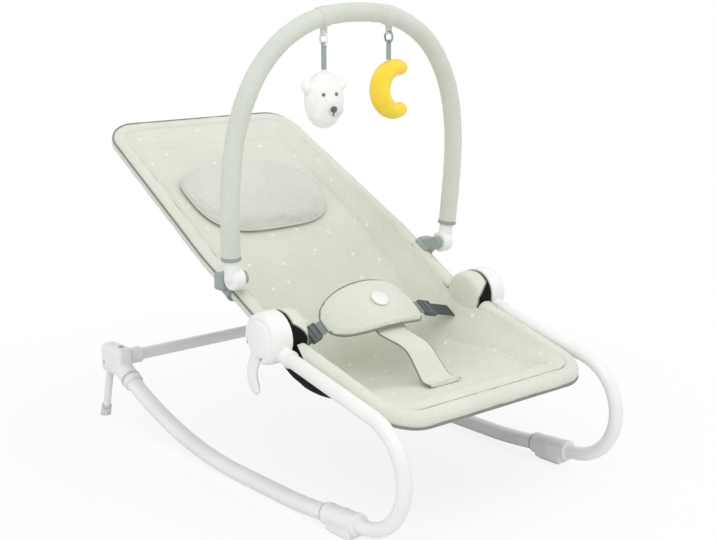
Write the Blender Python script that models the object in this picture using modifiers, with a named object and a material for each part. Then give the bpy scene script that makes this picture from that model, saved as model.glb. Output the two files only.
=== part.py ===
"""Baby bouncer: a curved tube base on two front feet and two fold-out rear stands, with a
reclining fabric seat, a harness and a padded toy arch that carries two soft toys.

Metres. X is the width, -Y is the feet end, +Y is the head end and the floor is Z = 0.
Right and left are the child's: right is -X, left is +X.
"""

import math

import bmesh
import bpy
from mathutils import Matrix, Vector
from mathutils.bvhtree import BVHTree

SIDES = {"right": -1, "left": 1}
GAP = 0.0003
RUNNING_GAP = 0.0005
CUT_PAST = 0.004
RING_TURN = math.radians(18)
BORE_DETAIL = 4

# Base tubes, seen from the side
BASE_HALF_WIDTH = 0.212
BASE_TUBE_RADIUS = 0.0105
BASE_TUBE_WALL = 0.0012
BEND_RADIUS = 0.080
BEND_CENTRE_Y = -0.304
BEND_LOW_Z = 0.025
UPPER_SLOPE = math.radians(12.4)
ROCKER_HALF_WIDTH = 0.0135
ROCKER_HALF_HEIGHT = 0.0115
ROCKER_LOW_Z = 0.0135
ROCKER_REAR_RADIUS = 0.70
ROCKER_FRONT_RADIUS = 0.80
ROCKER_FLAT_REAR_Y = -0.02
ROCKER_FLAT_FRONT_Y = -0.13
ROCKER_REAR_ANGLE = math.radians(27.5)
ROCKER_STEPS = 7
ROCKER_FRONT_STEPS = 3
BEND_STEPS = 10

# Front feet
FOOT_REAR_Y = -0.230
FOOT_FRONT_Y = -0.298
FOOT_RADIUS = 0.0160
FOOT_BLOCK_LENGTH = 0.050
FOOT_BLOCK_WIDTH = 0.027
FOOT_BLOCK_ROUNDING = 0.003
FOOT_SOLE_Z = 0.0025
PAD_LENGTH = 0.040
PAD_WIDTH = 0.018
PAD_THICKNESS = 0.0045
TUBE_JOINT_SPACE = 0.004

# Rear connectors, cross tube and stands
ROCKER_END_Y = ROCKER_FLAT_REAR_Y + ROCKER_REAR_RADIUS * math.sin(ROCKER_REAR_ANGLE)
ROCKER_END_Z = ROCKER_LOW_Z + ROCKER_REAR_RADIUS * (1 - math.cos(ROCKER_REAR_ANGLE))
CONNECTOR_PAST_ROCKER = 0.0298
CONNECTOR_CENTRE_Y = ROCKER_END_Y + CONNECTOR_PAST_ROCKER
CONNECTOR_OVER_ROCKER = 0.0174
CONNECTOR_CENTRE_Z = ROCKER_END_Z + CONNECTOR_OVER_ROCKER
CONNECTOR_LENGTH = 0.064
CONNECTOR_WIDTH = 0.030
CONNECTOR_HEIGHT = 0.049
CONNECTOR_ROUNDING = 0.007
CONNECTOR_PIN_INSET = 0.0005
ROCKER_SOCKET_RADIUS = 0.0163
ROCKER_SOCKET_LAP = 0.010
ROCKER_SOCKET_ANGLE = math.radians(2.2)
CROSS_TUBE_RADIUS = 0.0100
CROSS_TUBE_PAST_ROCKER = 0.0228
CROSS_TUBE_Y = ROCKER_END_Y + CROSS_TUBE_PAST_ROCKER
CROSS_TUBE_OVER_ROCKER = 0.0204
CROSS_TUBE_Z = ROCKER_END_Z + CROSS_TUBE_OVER_ROCKER
CROSS_TUBE_INSET = 0.0160
CROSS_TUBE_END = BASE_HALF_WIDTH - CROSS_TUBE_INSET
CROSS_SOCKET_RADIUS = 0.0140
CROSS_SOCKET_INSET = 0.0400
CROSS_SOCKET_START = BASE_HALF_WIDTH - CROSS_SOCKET_INSET
STAND_PAST_ROCKER = 0.0488
STAND_PIVOT_Y = ROCKER_END_Y + STAND_PAST_ROCKER
STAND_OVER_ROCKER = 0.0104
STAND_PIVOT_Z = ROCKER_END_Z + STAND_OVER_ROCKER
STAND_TILT = math.radians(15.4)
STAND_RADIUS = 0.0063
STAND_EYE_RADIUS = 0.0090
STAND_EYE_WIDTH = 0.012
STAND_PIN_RADIUS = 0.0030
STAND_TIP_RADIUS = 0.0085
STAND_TIP_LENGTH = 0.020
STAND_TIP_FLOOR = 0.005
FORK_CLEARANCE = 0.0005
FORK_PAST_ROCKER = 0.0348
FORK_FRONT_Y = ROCKER_END_Y + FORK_PAST_ROCKER
FORK_OVER_ROCKER = 0.0229
FORK_TOP_Z = ROCKER_END_Z + FORK_OVER_ROCKER

# Hubs and what they hold
HUB_Y = -0.103
HUB_Z = 0.243
HUB_RADIUS = 0.038
HUB_INSET = 0.0123
HUB_INNER_X = BASE_HALF_WIDTH - HUB_INSET
HUB_DEPTH = 0.0365
HUB_WALL = 0.004
HUB_CROWN = ((0, 0), (0.48, 0), (0.80, 0.05), (0.95, 0.17), (1, 0.36), (1, 1))
HUB_SOCKET_RADIUS = 0.0122
HUB_SOCKET_LENGTH = 0.018
HUB_TUBE_STOP = 0.025
CAVITY_RADIUS = 0.0215
PIN_RADIUS = 0.0050
PIN_HEAD_RADIUS = 0.0090
PIN_HEAD_DEPTH = 0.0030
PIN_TIP_DEPTH = 0.0016
LOCK_PLATE_RADIUS = 0.0155
LOCK_PLATE_ROOT = 0.0130
LOCK_PLATE_TEETH = 8
LOCK_PLATE_TOOTH_SHARE = 0.3
LOCK_PLATE_INSET = 0.0045
LOCK_PLATE_THICKNESS = 0.0040
SPRING_RADIUS = 0.0085
SPRING_WIRE_RADIUS = 0.0008
SPRING_TURNS = 2.5
SPRING_PITCH = 0.0042
SPRING_STEPS = 8
LEVER_RING_RADIUS = 0.0205
LEVER_THICKNESS = 0.0100
LEVER_HALF_WIDTH = 0.0110
LEVER_RUNNING_GAP = 0.0005
LEVER_TRAVEL = math.radians(18)
LEVER_REST_ANGLE = math.radians(24)
LEVER_DEPTH = HUB_DEPTH - HUB_WALL - LEVER_RUNNING_GAP - LEVER_THICKNESS / 2
LEVER_SLOT_HALF_WIDTH = 0.0200
LEVER_TAIL = (
    (0.0070, -0.0160, 0.90),
    (0.0170, -0.0340, 1.00),
    (0.0240, -0.0500, 1.00),
    (0.0235, -0.0640, 1.00),
    (0.0170, -0.0760, 0.92),
    (0.0110, -0.0830, 0.45),
)

# Seat frame
DISC_RADIUS = 0.034
DISC_THICKNESS = 0.0287
DISC_RUNNING_GAP = 0.0005
DISC_EDGE = 0.0020
FRAME_INSET_AT_HUB = 0.0271
FRAME_HALF_AT_HUB = BASE_HALF_WIDTH - FRAME_INSET_AT_HUB
FRAME_TUBE_RADIUS = 0.0095
FRAME_TUBE_WALL = 0.0012
FRAME_TUBE_START = 0.016
EDGE_SLEEVE_RADIUS = 0.0125
EDGE_SLEEVE_START = 0.0365
BACK_ANGLE = math.radians(28.1)
BACK_DROP = 0.0163
BACK_LENGTH = 0.5412
BACK_WIDE_INSET = 0.0205
BACK_WIDE_HALF = BASE_HALF_WIDTH - BACK_WIDE_INSET
BACK_WIDE_AT = 0.200
BACK_TOP_INSET = 0.0355
BACK_TOP_HALF = BASE_HALF_WIDTH - BACK_TOP_INSET
BACK_CORNER_RADIUS = 0.042
FRONT_ANGLE = math.radians(14.7)
FRONT_DROP = 0.0092
FRONT_LENGTH = 0.2510
FRONT_END_INSET = 0.0320
FRONT_END_HALF = BASE_HALF_WIDTH - FRONT_END_INSET
FRONT_CORNER_RADIUS = 0.045

# Seat cover
COVER_THIN = 0.0060
COVER_CROWN = 0.0070
COVER_EDGE_CROWN = 0.0028
COVER_SEAM = 0.86
COVER_SHARES = (0.0, 0.30, 0.58, 0.76, COVER_SEAM, 0.93, 1.0)
COVER_ROW_STEP = 0.045
COVER_SIDE_POWER = 5.5
COVER_HUB_REACH = 0.044
LINING_THICKNESS = 0.0016
HOLLOW_DEPTH = 0.090
HOLLOW_Y = -0.045
HOLLOW_SPREAD_HEAD = 0.125
HOLLOW_SPREAD_FEET = 0.145
BACK_SAG = 0.034
END_SAG_SPREAD = 0.070

# Head pillow
PILLOW_HALF_WIDTH = 0.128
PILLOW_HALF_LENGTH = 0.082
PILLOW_CENTRE_Y = 0.222
PILLOW_CROWN = 0.026
PILLOW_EDGE = 0.005
PILLOW_LIFT = 0.0008
CUSHION_SQUARENESS = 2.6

# Harness
WAIST_HALF_WIDTH = 0.092
WAIST_HALF_LENGTH = 0.050
WAIST_CROWN = 0.008
WAIST_EDGE = 0.004
WAIST_CENTRE_Y = -0.088
WAIST_CENTRE_Z = 0.252
WAIST_TILT = math.radians(34)
WAIST_ARCH = 0.030
BADGE_RADIUS = 0.0140
BADGE_THICKNESS = 0.0025
CROTCH_WIDTH = 0.047
CROTCH_END_WIDTH = 0.060
CROTCH_THICKNESS = 0.0070
CROTCH_KNEE_Y = -0.180
CROTCH_KNEE_Z = 0.207
CROTCH_END_Y = -0.240
CROTCH_LAP = 0.020
CROTCH_CLEARANCE = 0.0010
CROTCH_START_SHARE = 0.4
CROTCH_EDGE_SHARE = 1.1
CROTCH_BEND_RADII = (0.025, 0.050, 0.020)
WEBBING_WIDTH = 0.024
WEBBING_THICKNESS = 0.0024
WEBBING_INSET = 0.0540
WEBBING_SIDE_X = BASE_HALF_WIDTH - WEBBING_INSET
BUCKLE_LENGTH = 0.022
BUCKLE_WIDTH = 0.030
BUCKLE_THICKNESS = 0.010
TONGUE_LENGTH = 0.012

# Toy arch
ARCH_PIVOT_Y = -0.0150
ARCH_PIVOT_Z = 0.3110
ARCH_LEAN = math.radians(4.0)
ARCH_OUTSET = 0.0080
ARCH_HALF_WIDTH = BASE_HALF_WIDTH + ARCH_OUTSET
ARCH_SPRING_Z = 0.430
ARCH_TOP_Z = 0.687
ARCH_POWER = 2.4
ARCH_LEG_STEPS = 3
ARCH_STEPS = 8
ARCH_NECK_OUTSET = 0.0010
ARCH_NECK_HALF = BASE_HALF_WIDTH + ARCH_NECK_OUTSET
ARCH_SLEEVE_END_Z = 0.341
ARCH_CORE_RADIUS = 0.0078
ARCH_SLEEVE_RADIUS = 0.0140
ARCH_CORE_START_Z = 0.321
KNUCKLE_THICKNESS = 0.0190
KNUCKLE_RADIUS = 0.0165
KNUCKLE_INSET = 0.0120
KNUCKLE_INNER_X = BASE_HALF_WIDTH - KNUCKLE_INSET
KNUCKLE_NECK_RADIUS = 0.0105
CLIP_Y = 0.0195
CLIP_RADIUS = 0.0175
CLIP_LENGTH = 0.028
CLIP_ARM_THICKNESS = 0.0090
CLIP_ARM_RADIUS = 0.0100
CLIP_ARM_HALF_WIDTH = 0.0090
CLIP_STUB_RADIUS = 0.0050
CLIP_STUB_LENGTH = 0.0150
CLIP_BLOCK_SIZE = (0.0240, 0.0220, 0.0260)
CLIP_BLOCK_INSET = 0.0075
CLIP_BLOCK_X = BASE_HALF_WIDTH - CLIP_BLOCK_INSET
CLIP_BLOCK_Z = 0.3010
CLIP_BLOCK_ROUNDING = 0.003
CLIP_MOUTH = 0.004

# Toys
TOY_ANIMAL_X = -0.062
TOY_MOON_X = 0.064
BAND_RADIUS = 0.0165
BAND_WIDTH = 0.022
TAB_WIDTH = 0.013
TAB_THICKNESS = 0.0016
TAB_DROP = 0.0115
TAB_HOLE_RADIUS = 0.0027
RING_PLAY = 0.0009
TAB_HOLE_WALL = 0.0019
RING_RADIUS = 0.0085
RING_WIRE_RADIUS = 0.0016
RING_STEPS = 16
RING_REACH = RING_RADIUS * math.cos(math.pi / RING_STEPS)
STRAP_WIDTH = 0.0085
STRAP_THICKNESS = 0.0030
STRAP_HOLE_RADIUS = 0.0022
STRAP_HOLE_WALL = 0.0022
ANIMAL_STRAP_LENGTH = 0.040
MOON_STRAP_LENGTH = 0.030
HEAD_HALF_WIDTH = 0.0320
HEAD_HALF_HEIGHT = 0.0430
HEAD_HALF_DEPTH = 0.0240
MUZZLE_HALF_WIDTH = 0.0150
MUZZLE_HALF_HEIGHT = 0.0120
MUZZLE_HALF_DEPTH = 0.0100
EAR_HALF_WIDTH = 0.0130
EAR_HALF_HEIGHT = 0.0100
EAR_HALF_DEPTH = 0.0090
MUZZLE_OFFSET = (0.004, -0.0200, -0.0130)
EAR_OFFSET = (0.0300, 0.0, 0.0200)
MOON_ARC_RADIUS = 0.0325
MOON_BODY_RADIUS = 0.0165
MOON_TIP_RADIUS = 0.0012
MOON_END_RADIUS = 0.0100
MOON_ROUNDING_START = 0.86
MOON_OPENING = math.radians(54)
MOON_STRAP_OFFSET = 0.015
MOON_STEPS = 20

PALETTE = {
    "white_paint": ((0.80, 0.80, 0.79), 0.35, 0.0),
    "white_plastic": ((0.82, 0.83, 0.81), 0.42, 0.0),
    "grey_plastic": ((0.17, 0.20, 0.20), 0.50, 0.0),
    "steel": ((0.62, 0.62, 0.63), 0.35, 1.0),
    "grey_rubber": ((0.55, 0.55, 0.54), 0.85, 0.0),
    "sage_fabric": ((0.72, 0.755, 0.665), 0.90, 0.0),
    "sage_trim": ((0.22, 0.25, 0.22), 0.85, 0.0),
    "black_lining": ((0.015, 0.015, 0.017), 0.85, 0.0),
    "pillow_fabric": ((0.71, 0.74, 0.69), 0.90, 0.0),
    "dark_webbing": ((0.05, 0.055, 0.055), 0.80, 0.0),
    "white_plush": ((0.80, 0.79, 0.75), 0.95, 0.0),
    "grey_plush": ((0.12, 0.12, 0.13), 0.95, 0.0),
    "yellow_plush": ((0.90, 0.66, 0.06), 0.95, 0.0),
}


def clear_scene():
    for obj in list(bpy.data.objects):
        bpy.data.objects.remove(obj)


def new_collection(name):
    collection = bpy.data.collections.new(name)
    bpy.context.scene.collection.children.link(collection)
    return collection


def new_material(name, colour, roughness, metallic):
    material = bpy.data.materials.new(name)
    material.use_nodes = True
    shader = material.node_tree.nodes["Principled BSDF"]
    shader.inputs["Base Color"].default_value = (*colour, 1.0)
    shader.inputs["Roughness"].default_value = roughness
    shader.inputs["Metallic"].default_value = metallic
    return material


clear_scene()
PARTS = new_collection("baby_bouncer")
CUTTERS = new_collection("cutters")
MATERIALS = {name: new_material(name, *finish) for name, finish in PALETTE.items()}


def add_part(name, data, finish):
    obj = bpy.data.objects.new(name, data)
    data.materials.append(MATERIALS[finish])
    PARTS.objects.link(obj)
    return obj


def add_cutter(name, mesh):
    obj = bpy.data.objects.new(name, mesh)
    obj.hide_render = True
    obj.display_type = "WIRE"
    CUTTERS.objects.link(obj)
    return obj


def boolean(obj, cutter, operation="DIFFERENCE"):
    modifier = obj.modifiers.new(cutter.name, "BOOLEAN")
    modifier.operation = operation
    modifier.object = cutter
    return modifier


def finish_mesh(mesh, work):
    bmesh.ops.recalc_face_normals(work, faces=work.faces)
    work.to_mesh(mesh)
    work.free()
    mesh.shade_smooth()
    mesh.set_sharp_from_angle(angle=math.radians(40))
    return mesh


def turn_to(direction):
    """A matrix that turns +Z to the direction."""
    return Vector((0, 0, 1)).rotation_difference(Vector(direction)).to_matrix().to_4x4()


def cylinder_mesh(name, start, end, radius, sides=20, end_radius=None):
    start, end = Vector(start), Vector(end)
    work = bmesh.new()
    matrix = Matrix.Translation((start + end) / 2) @ turn_to(end - start)
    bmesh.ops.create_cone(
        work,
        cap_ends=True,
        segments=sides,
        radius1=radius,
        radius2=radius if end_radius is None else end_radius,
        depth=(end - start).length,
        matrix=matrix,
    )
    return finish_mesh(bpy.data.meshes.new(name), work)


def box_mesh(name, low, high, rounding=0.0, steps=2):
    low, high = Vector(low), Vector(high)
    work = bmesh.new()
    scale = Matrix.Diagonal((*(high - low), 1.0))
    bmesh.ops.create_cube(work, size=1.0, matrix=Matrix.Translation((low + high) / 2) @ scale)
    if rounding:
        bmesh.ops.bevel(
            work, geom=work.edges[:], offset=rounding, segments=steps, profile=0.5, affect="EDGES"
        )
    return finish_mesh(bpy.data.meshes.new(name), work)


def ellipsoid_mesh(name, centre, half_sizes, segments=14, rings=9):
    work = bmesh.new()
    matrix = Matrix.Translation(centre) @ Matrix.Diagonal((*half_sizes, 1.0))
    bmesh.ops.create_uvsphere(work, u_segments=segments, v_segments=rings, radius=1.0, matrix=matrix)
    return finish_mesh(bpy.data.meshes.new(name), work)


def path_curve(name, path, radius, resolution=3, caps=True, radii=None, closed=False):
    """A round tube along the path. Its ring has 4 + 2 * resolution sides."""
    curve = bpy.data.curves.new(name, "CURVE")
    curve.dimensions = "3D"
    curve.bevel_depth = radius
    curve.bevel_resolution = resolution
    curve.use_fill_caps = caps
    spline = curve.splines.new("POLY")
    spline.points.add(len(path) - 1)
    spline.use_cyclic_u = closed
    for index, place in enumerate(path):
        spline.points[index].co = (*place, 1.0)
        if radii:
            spline.points[index].radius = radii[index]
    return curve


def solid_from_curve(name, curve, scale_x=1.0, about_x=0.0):
    """The curve's tube as a welded mesh, stretched in X about one plane."""
    holder = bpy.data.objects.new(name + "_path", curve)
    CUTTERS.objects.link(holder)
    graph = bpy.context.evaluated_depsgraph_get()
    mesh = bpy.data.meshes.new_from_object(holder.evaluated_get(graph))
    bpy.data.objects.remove(holder)
    work = bmesh.new()
    work.from_mesh(mesh)
    bmesh.ops.remove_doubles(work, verts=work.verts, dist=0.00001)
    for vertex in work.verts:
        vertex.co.x = about_x + (vertex.co.x - about_x) * scale_x
    mesh.materials.clear()
    return finish_mesh(mesh, work)


def tube_cutter(name, path, radius, resolution=BORE_DETAIL, scale_x=1.0, about_x=0.0):
    curve = path_curve(name, path, radius, resolution)
    return add_cutter(name, solid_from_curve(name, curve, scale_x, about_x))


def hollow_tube(name, path, radius, wall, finish, resolution=3):
    """An open tube. Its wall is measured at the ring's points, so that tubes nest evenly."""
    obj = add_part(name, path_curve(name, path, radius, resolution, caps=False), finish)
    shell = obj.modifiers.new("Wall", "SOLIDIFY")
    shell.thickness = wall * math.cos(math.pi / (4 + 2 * resolution))
    shell.offset = -1
    shell.use_even_offset = True
    return obj


def round_corners(corners, radii, turn=RING_TURN):
    """The corners joined by straight runs, each inner corner rounded to its radius."""
    path = [corners[0]]
    for before, corner, after, radius in zip(corners, corners[1:], corners[2:], radii):
        to_before = (before - corner).normalized()
        to_after = (after - corner).normalized()
        bend = math.pi - to_before.angle(to_after)
        start = corner + to_before * radius * math.tan(bend / 2)
        centre = corner + (to_before + to_after).normalized() * radius / math.cos(bend / 2)
        axis = (start - centre).cross(corner - before)
        steps = max(1, math.ceil(bend / turn))
        for step in range(steps + 1):
            path.append(centre + Matrix.Rotation(bend * step / steps, 3, axis) @ (start - centre))
    return path + [corners[-1]]


def lengthened(path, amount):
    """The path with both its ends moved outwards."""
    first = path[0] + (path[0] - path[1]).normalized() * amount
    last = path[-1] + (path[-1] - path[-2]).normalized() * amount
    return [first] + path[1:-1] + [last]


def side_arc(centre, radius, first, last, steps):
    """Points (y, z) on an arc, with angles from +Y towards +Z."""
    angles = [first + (last - first) * step / steps for step in range(steps + 1)]
    return [(centre[0] + radius * math.cos(a), centre[1] + radius * math.sin(a)) for a in angles]


def at_x(x, places):
    return [Vector((x, y, z)) for y, z in places]


# Base


def rocker_point(angle):
    y = ROCKER_FLAT_REAR_Y + ROCKER_REAR_RADIUS * math.sin(angle)
    return y, ROCKER_LOW_Z + ROCKER_REAR_RADIUS * (1 - math.cos(angle))


def rocker_front_height(y):
    forward = ROCKER_FLAT_FRONT_Y - y
    return ROCKER_LOW_Z + ROCKER_FRONT_RADIUS - math.sqrt(ROCKER_FRONT_RADIUS**2 - forward**2)


def rocker_path(front_y):
    shares = [1 - step / ROCKER_STEPS for step in range(ROCKER_STEPS + 1)]
    rear = [rocker_point(ROCKER_REAR_ANGLE * share) for share in shares]
    rise = math.asin((ROCKER_FLAT_FRONT_Y - front_y) / ROCKER_FRONT_RADIUS)
    centre = (ROCKER_FLAT_FRONT_Y, ROCKER_LOW_Z + ROCKER_FRONT_RADIUS)
    down = math.radians(270)
    return rear + side_arc(centre, ROCKER_FRONT_RADIUS, down, down - rise, ROCKER_FRONT_STEPS)


def bend_path(rear_y):
    centre = (BEND_CENTRE_Y, BEND_LOW_Z + BEND_RADIUS)
    path = side_arc(centre, BEND_RADIUS, math.radians(270), math.radians(90) + UPPER_SLOPE, BEND_STEPS)
    slope = Vector((math.cos(UPPER_SLOPE), math.sin(UPPER_SLOPE)))
    to_hub = Vector((HUB_Y, HUB_Z)) - Vector(path[-1])
    along = to_hub.dot(slope)
    beside = math.sqrt(to_hub.length_squared - along**2)
    end = Vector(path[-1]) + slope * (along - math.sqrt(HUB_TUBE_STOP**2 - beside**2))
    return [(rear_y, BEND_LOW_Z)] + path + [tuple(end)], slope


FOOT_MIDDLE_Y = (FOOT_REAR_Y + FOOT_FRONT_Y) / 2
ROCKER_FRONT_Y = FOOT_MIDDLE_Y + TUBE_JOINT_SPACE / 2
BEND_REAR_Y = FOOT_MIDDLE_Y - TUBE_JOINT_SPACE / 2


def make_rocker(side, sign):
    x = sign * BASE_HALF_WIDTH
    stretch = ROCKER_HALF_WIDTH / ROCKER_HALF_HEIGHT
    path = at_x(x, rocker_path(ROCKER_FRONT_Y))
    outer = path_curve("rocker", path, ROCKER_HALF_HEIGHT, 3)
    tube = add_part(f"rocker_tube_{side}", solid_from_curve("rocker", outer, stretch, x), "white_paint")
    bore = ROCKER_HALF_HEIGHT - BASE_TUBE_WALL
    longer = lengthened(path, CUT_PAST)
    boolean(tube, tube_cutter(f"rocker_bore_{side}", longer, bore, 2, stretch, x))
    return path, stretch


def make_front_foot(side, sign, rocker, stretch, bend):
    x = sign * BASE_HALF_WIDTH
    rear = (x, FOOT_REAR_Y, rocker_front_height(FOOT_REAR_Y))
    front = (x, FOOT_FRONT_Y, BEND_LOW_Z)
    collar = add_part(
        f"front_foot_{side}", cylinder_mesh("foot", rear, front, FOOT_RADIUS, 20), "white_plastic"
    )
    low = (x - FOOT_BLOCK_WIDTH / 2, FOOT_MIDDLE_Y - FOOT_BLOCK_LENGTH / 2, FOOT_SOLE_Z - CUT_PAST)
    high = (x + FOOT_BLOCK_WIDTH / 2, FOOT_MIDDLE_Y + FOOT_BLOCK_LENGTH / 2, BEND_LOW_Z)
    block = add_cutter(f"foot_block_{side}", box_mesh("foot_block", low, high, FOOT_BLOCK_ROUNDING))
    boolean(collar, block, "UNION")
    trim_low = (x - FOOT_RADIUS * 2, FOOT_FRONT_Y - FOOT_RADIUS, -FOOT_RADIUS)
    trim_high = (x + FOOT_RADIUS * 2, FOOT_REAR_Y + FOOT_RADIUS, FOOT_SOLE_Z)
    boolean(collar, add_cutter(f"foot_trim_{side}", box_mesh("foot_trim", trim_low, trim_high)))
    rocker_end = lengthened(rocker, GAP)
    bore = ROCKER_HALF_HEIGHT + RUNNING_GAP
    boolean(collar, tube_cutter(f"foot_rocker_bore_{side}", rocker_end, bore, BORE_DETAIL, stretch, x))
    bend_end = lengthened(bend[:3], GAP)
    boolean(collar, tube_cutter(f"foot_bend_bore_{side}", bend_end, BASE_TUBE_RADIUS + RUNNING_GAP))
    pad_low = Vector((x - PAD_WIDTH / 2, FOOT_MIDDLE_Y - PAD_LENGTH / 2, 0.0))
    pad_high = Vector((x + PAD_WIDTH / 2, FOOT_MIDDLE_Y + PAD_LENGTH / 2, PAD_THICKNESS))
    grow = Vector((GAP, GAP, GAP))
    pocket = box_mesh("pad_pocket", pad_low - grow, pad_high + grow)
    boolean(collar, add_cutter(f"pad_pocket_{side}", pocket))
    add_part(f"foot_pad_{side}", box_mesh("pad", pad_low, pad_high), "grey_rubber")


def make_connector(side, sign, rocker, stretch):
    x = sign * BASE_HALF_WIDTH
    centre = Vector((x, CONNECTOR_CENTRE_Y, CONNECTOR_CENTRE_Z))
    half = Vector((CONNECTOR_WIDTH, CONNECTOR_LENGTH, CONNECTOR_HEIGHT)) / 2
    block = box_mesh("connector", centre - half, centre + half, CONNECTOR_ROUNDING)
    body = add_part(f"rear_connector_{side}", block, "white_plastic")
    socket_start = at_x(x, [rocker_point(ROCKER_REAR_ANGLE - ROCKER_SOCKET_ANGLE)])[0]
    socket_end = rocker[0] + (rocker[0] - rocker[1]).normalized() * ROCKER_SOCKET_LAP
    socket = cylinder_mesh("rocker_socket", socket_start, socket_end, ROCKER_SOCKET_RADIUS, 16)
    boolean(body, add_cutter(f"rocker_socket_{side}", socket), "UNION")
    cross_start = (sign * CROSS_SOCKET_START, CROSS_TUBE_Y, CROSS_TUBE_Z)
    cross_inside = (x, CROSS_TUBE_Y, CROSS_TUBE_Z)
    cross = cylinder_mesh("cross_socket", cross_start, cross_inside, CROSS_SOCKET_RADIUS, 16)
    boolean(body, add_cutter(f"cross_socket_{side}", cross), "UNION")
    bore = ROCKER_HALF_HEIGHT + RUNNING_GAP
    rocker_end = lengthened(rocker[:4], GAP)
    boolean(body, tube_cutter(f"rocker_end_bore_{side}", rocker_end, bore, BORE_DETAIL, stretch, x))
    cross_end = (sign * (CROSS_TUBE_END + GAP), CROSS_TUBE_Y, CROSS_TUBE_Z)
    cross_out = (sign * (CROSS_SOCKET_START - CUT_PAST), CROSS_TUBE_Y, CROSS_TUBE_Z)
    cross_bore = cylinder_mesh("cross_bore", cross_out, cross_end, CROSS_TUBE_RADIUS + RUNNING_GAP, 16)
    boolean(body, add_cutter(f"cross_bore_{side}", cross_bore))
    fork_half = STAND_EYE_WIDTH / 2 + FORK_CLEARANCE
    fork_low = (x - fork_half, FORK_FRONT_Y, CONNECTOR_CENTRE_Z - CONNECTOR_HEIGHT)
    fork_high = (x + fork_half, CONNECTOR_CENTRE_Y + CONNECTOR_LENGTH, FORK_TOP_Z)
    boolean(body, add_cutter(f"fork_slot_{side}", box_mesh("fork", fork_low, fork_high)))
    pin_hole = stand_pin_mesh(x, STAND_PIN_RADIUS + GAP, CONNECTOR_WIDTH + CUT_PAST)
    boolean(body, add_cutter(f"stand_pin_hole_{side}", pin_hole))


def stand_pin_mesh(x, radius, length, sides=12):
    start = (x - length / 2, STAND_PIVOT_Y, STAND_PIVOT_Z)
    end = (x + length / 2, STAND_PIVOT_Y, STAND_PIVOT_Z)
    return cylinder_mesh("stand_pin", start, end, radius, sides)


def make_cross_tube():
    ends = [Vector((sign * CROSS_TUBE_END, CROSS_TUBE_Y, CROSS_TUBE_Z)) for sign in (-1, 1)]
    hollow_tube("rear_cross_tube", ends, CROSS_TUBE_RADIUS, BASE_TUBE_WALL, "white_paint")


def make_stand(side, sign):
    """A leg with an eye on the connector's pin, and a rubber tip that ends flat on the floor."""
    x = sign * BASE_HALF_WIDTH
    pivot = Vector((x, STAND_PIVOT_Y, STAND_PIVOT_Z))
    down = Vector((0, math.sin(STAND_TILT), -math.cos(STAND_TILT)))
    reach = STAND_PIVOT_Z / math.cos(STAND_TILT)
    leg_end = pivot + down * (reach - STAND_TIP_FLOOR)
    leg_mesh = cylinder_mesh("leg", pivot, leg_end, STAND_RADIUS, 12)
    leg_mesh.transform(Matrix.Translation(-pivot))
    leg = add_part(f"stand_leg_{side}", leg_mesh, "white_paint")
    leg.location = pivot
    eye_start = pivot - Vector((STAND_EYE_WIDTH / 2, 0, 0))
    eye_end = pivot + Vector((STAND_EYE_WIDTH / 2, 0, 0))
    eye = cylinder_mesh("stand_eye", eye_start, eye_end, STAND_EYE_RADIUS, 16)
    boolean(leg, add_cutter(f"stand_eye_{side}", eye), "UNION")
    hole = stand_pin_mesh(x, STAND_PIN_RADIUS + GAP, STAND_EYE_WIDTH + CUT_PAST)
    boolean(leg, add_cutter(f"stand_eye_hole_{side}", hole))
    tip_start = pivot + down * (reach - STAND_TIP_LENGTH)
    tip_end = pivot + down * (reach + STAND_TIP_RADIUS)
    tip_mesh = cylinder_mesh("tip", tip_start, tip_end, STAND_TIP_RADIUS, 16)
    tip = add_part(f"stand_tip_{side}", tip_mesh, "grey_rubber")
    reach_out = Vector((1, 1, 1)) * STAND_TIP_RADIUS * 2
    trim_high = tip_end + reach_out
    trim_high.z = 0.0
    below = box_mesh("tip_trim", tip_end - reach_out, trim_high)
    boolean(tip, add_cutter(f"tip_trim_{side}", below))
    socket = cylinder_mesh("tip_socket", pivot, leg_end + down * GAP, STAND_RADIUS + GAP, 12)
    boolean(tip, add_cutter(f"tip_socket_{side}", socket))


# Hubs


def hub_point(sign, depth, y=HUB_Y, z=HUB_Z):
    """A point on or beside the hub's axis, its depth counted outwards from the inner face."""
    return Vector((sign * (HUB_INNER_X + depth), y, z))


def turned(name, profile, sign, depth, finish, closed=False, steps=24):
    """A profile of (radius, depth) points turned about the hub's axis."""
    mesh = bpy.data.meshes.new(name)
    edges = [(index, index + 1) for index in range(len(profile) - 1)]
    if closed:
        edges.append((len(profile) - 1, 0))
    mesh.from_pydata([(radius, 0, height) for radius, height in profile], edges, [])
    obj = add_part(name, mesh, finish)
    obj.location = hub_point(sign, depth)
    obj.rotation_euler = (0, sign * math.pi / 2, 0)
    screw = obj.modifiers.new("Turn", "SCREW")
    screw.steps = steps
    screw.render_steps = steps
    screw.use_merge_vertices = True
    screw.merge_threshold = 0.00005
    return obj


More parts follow.
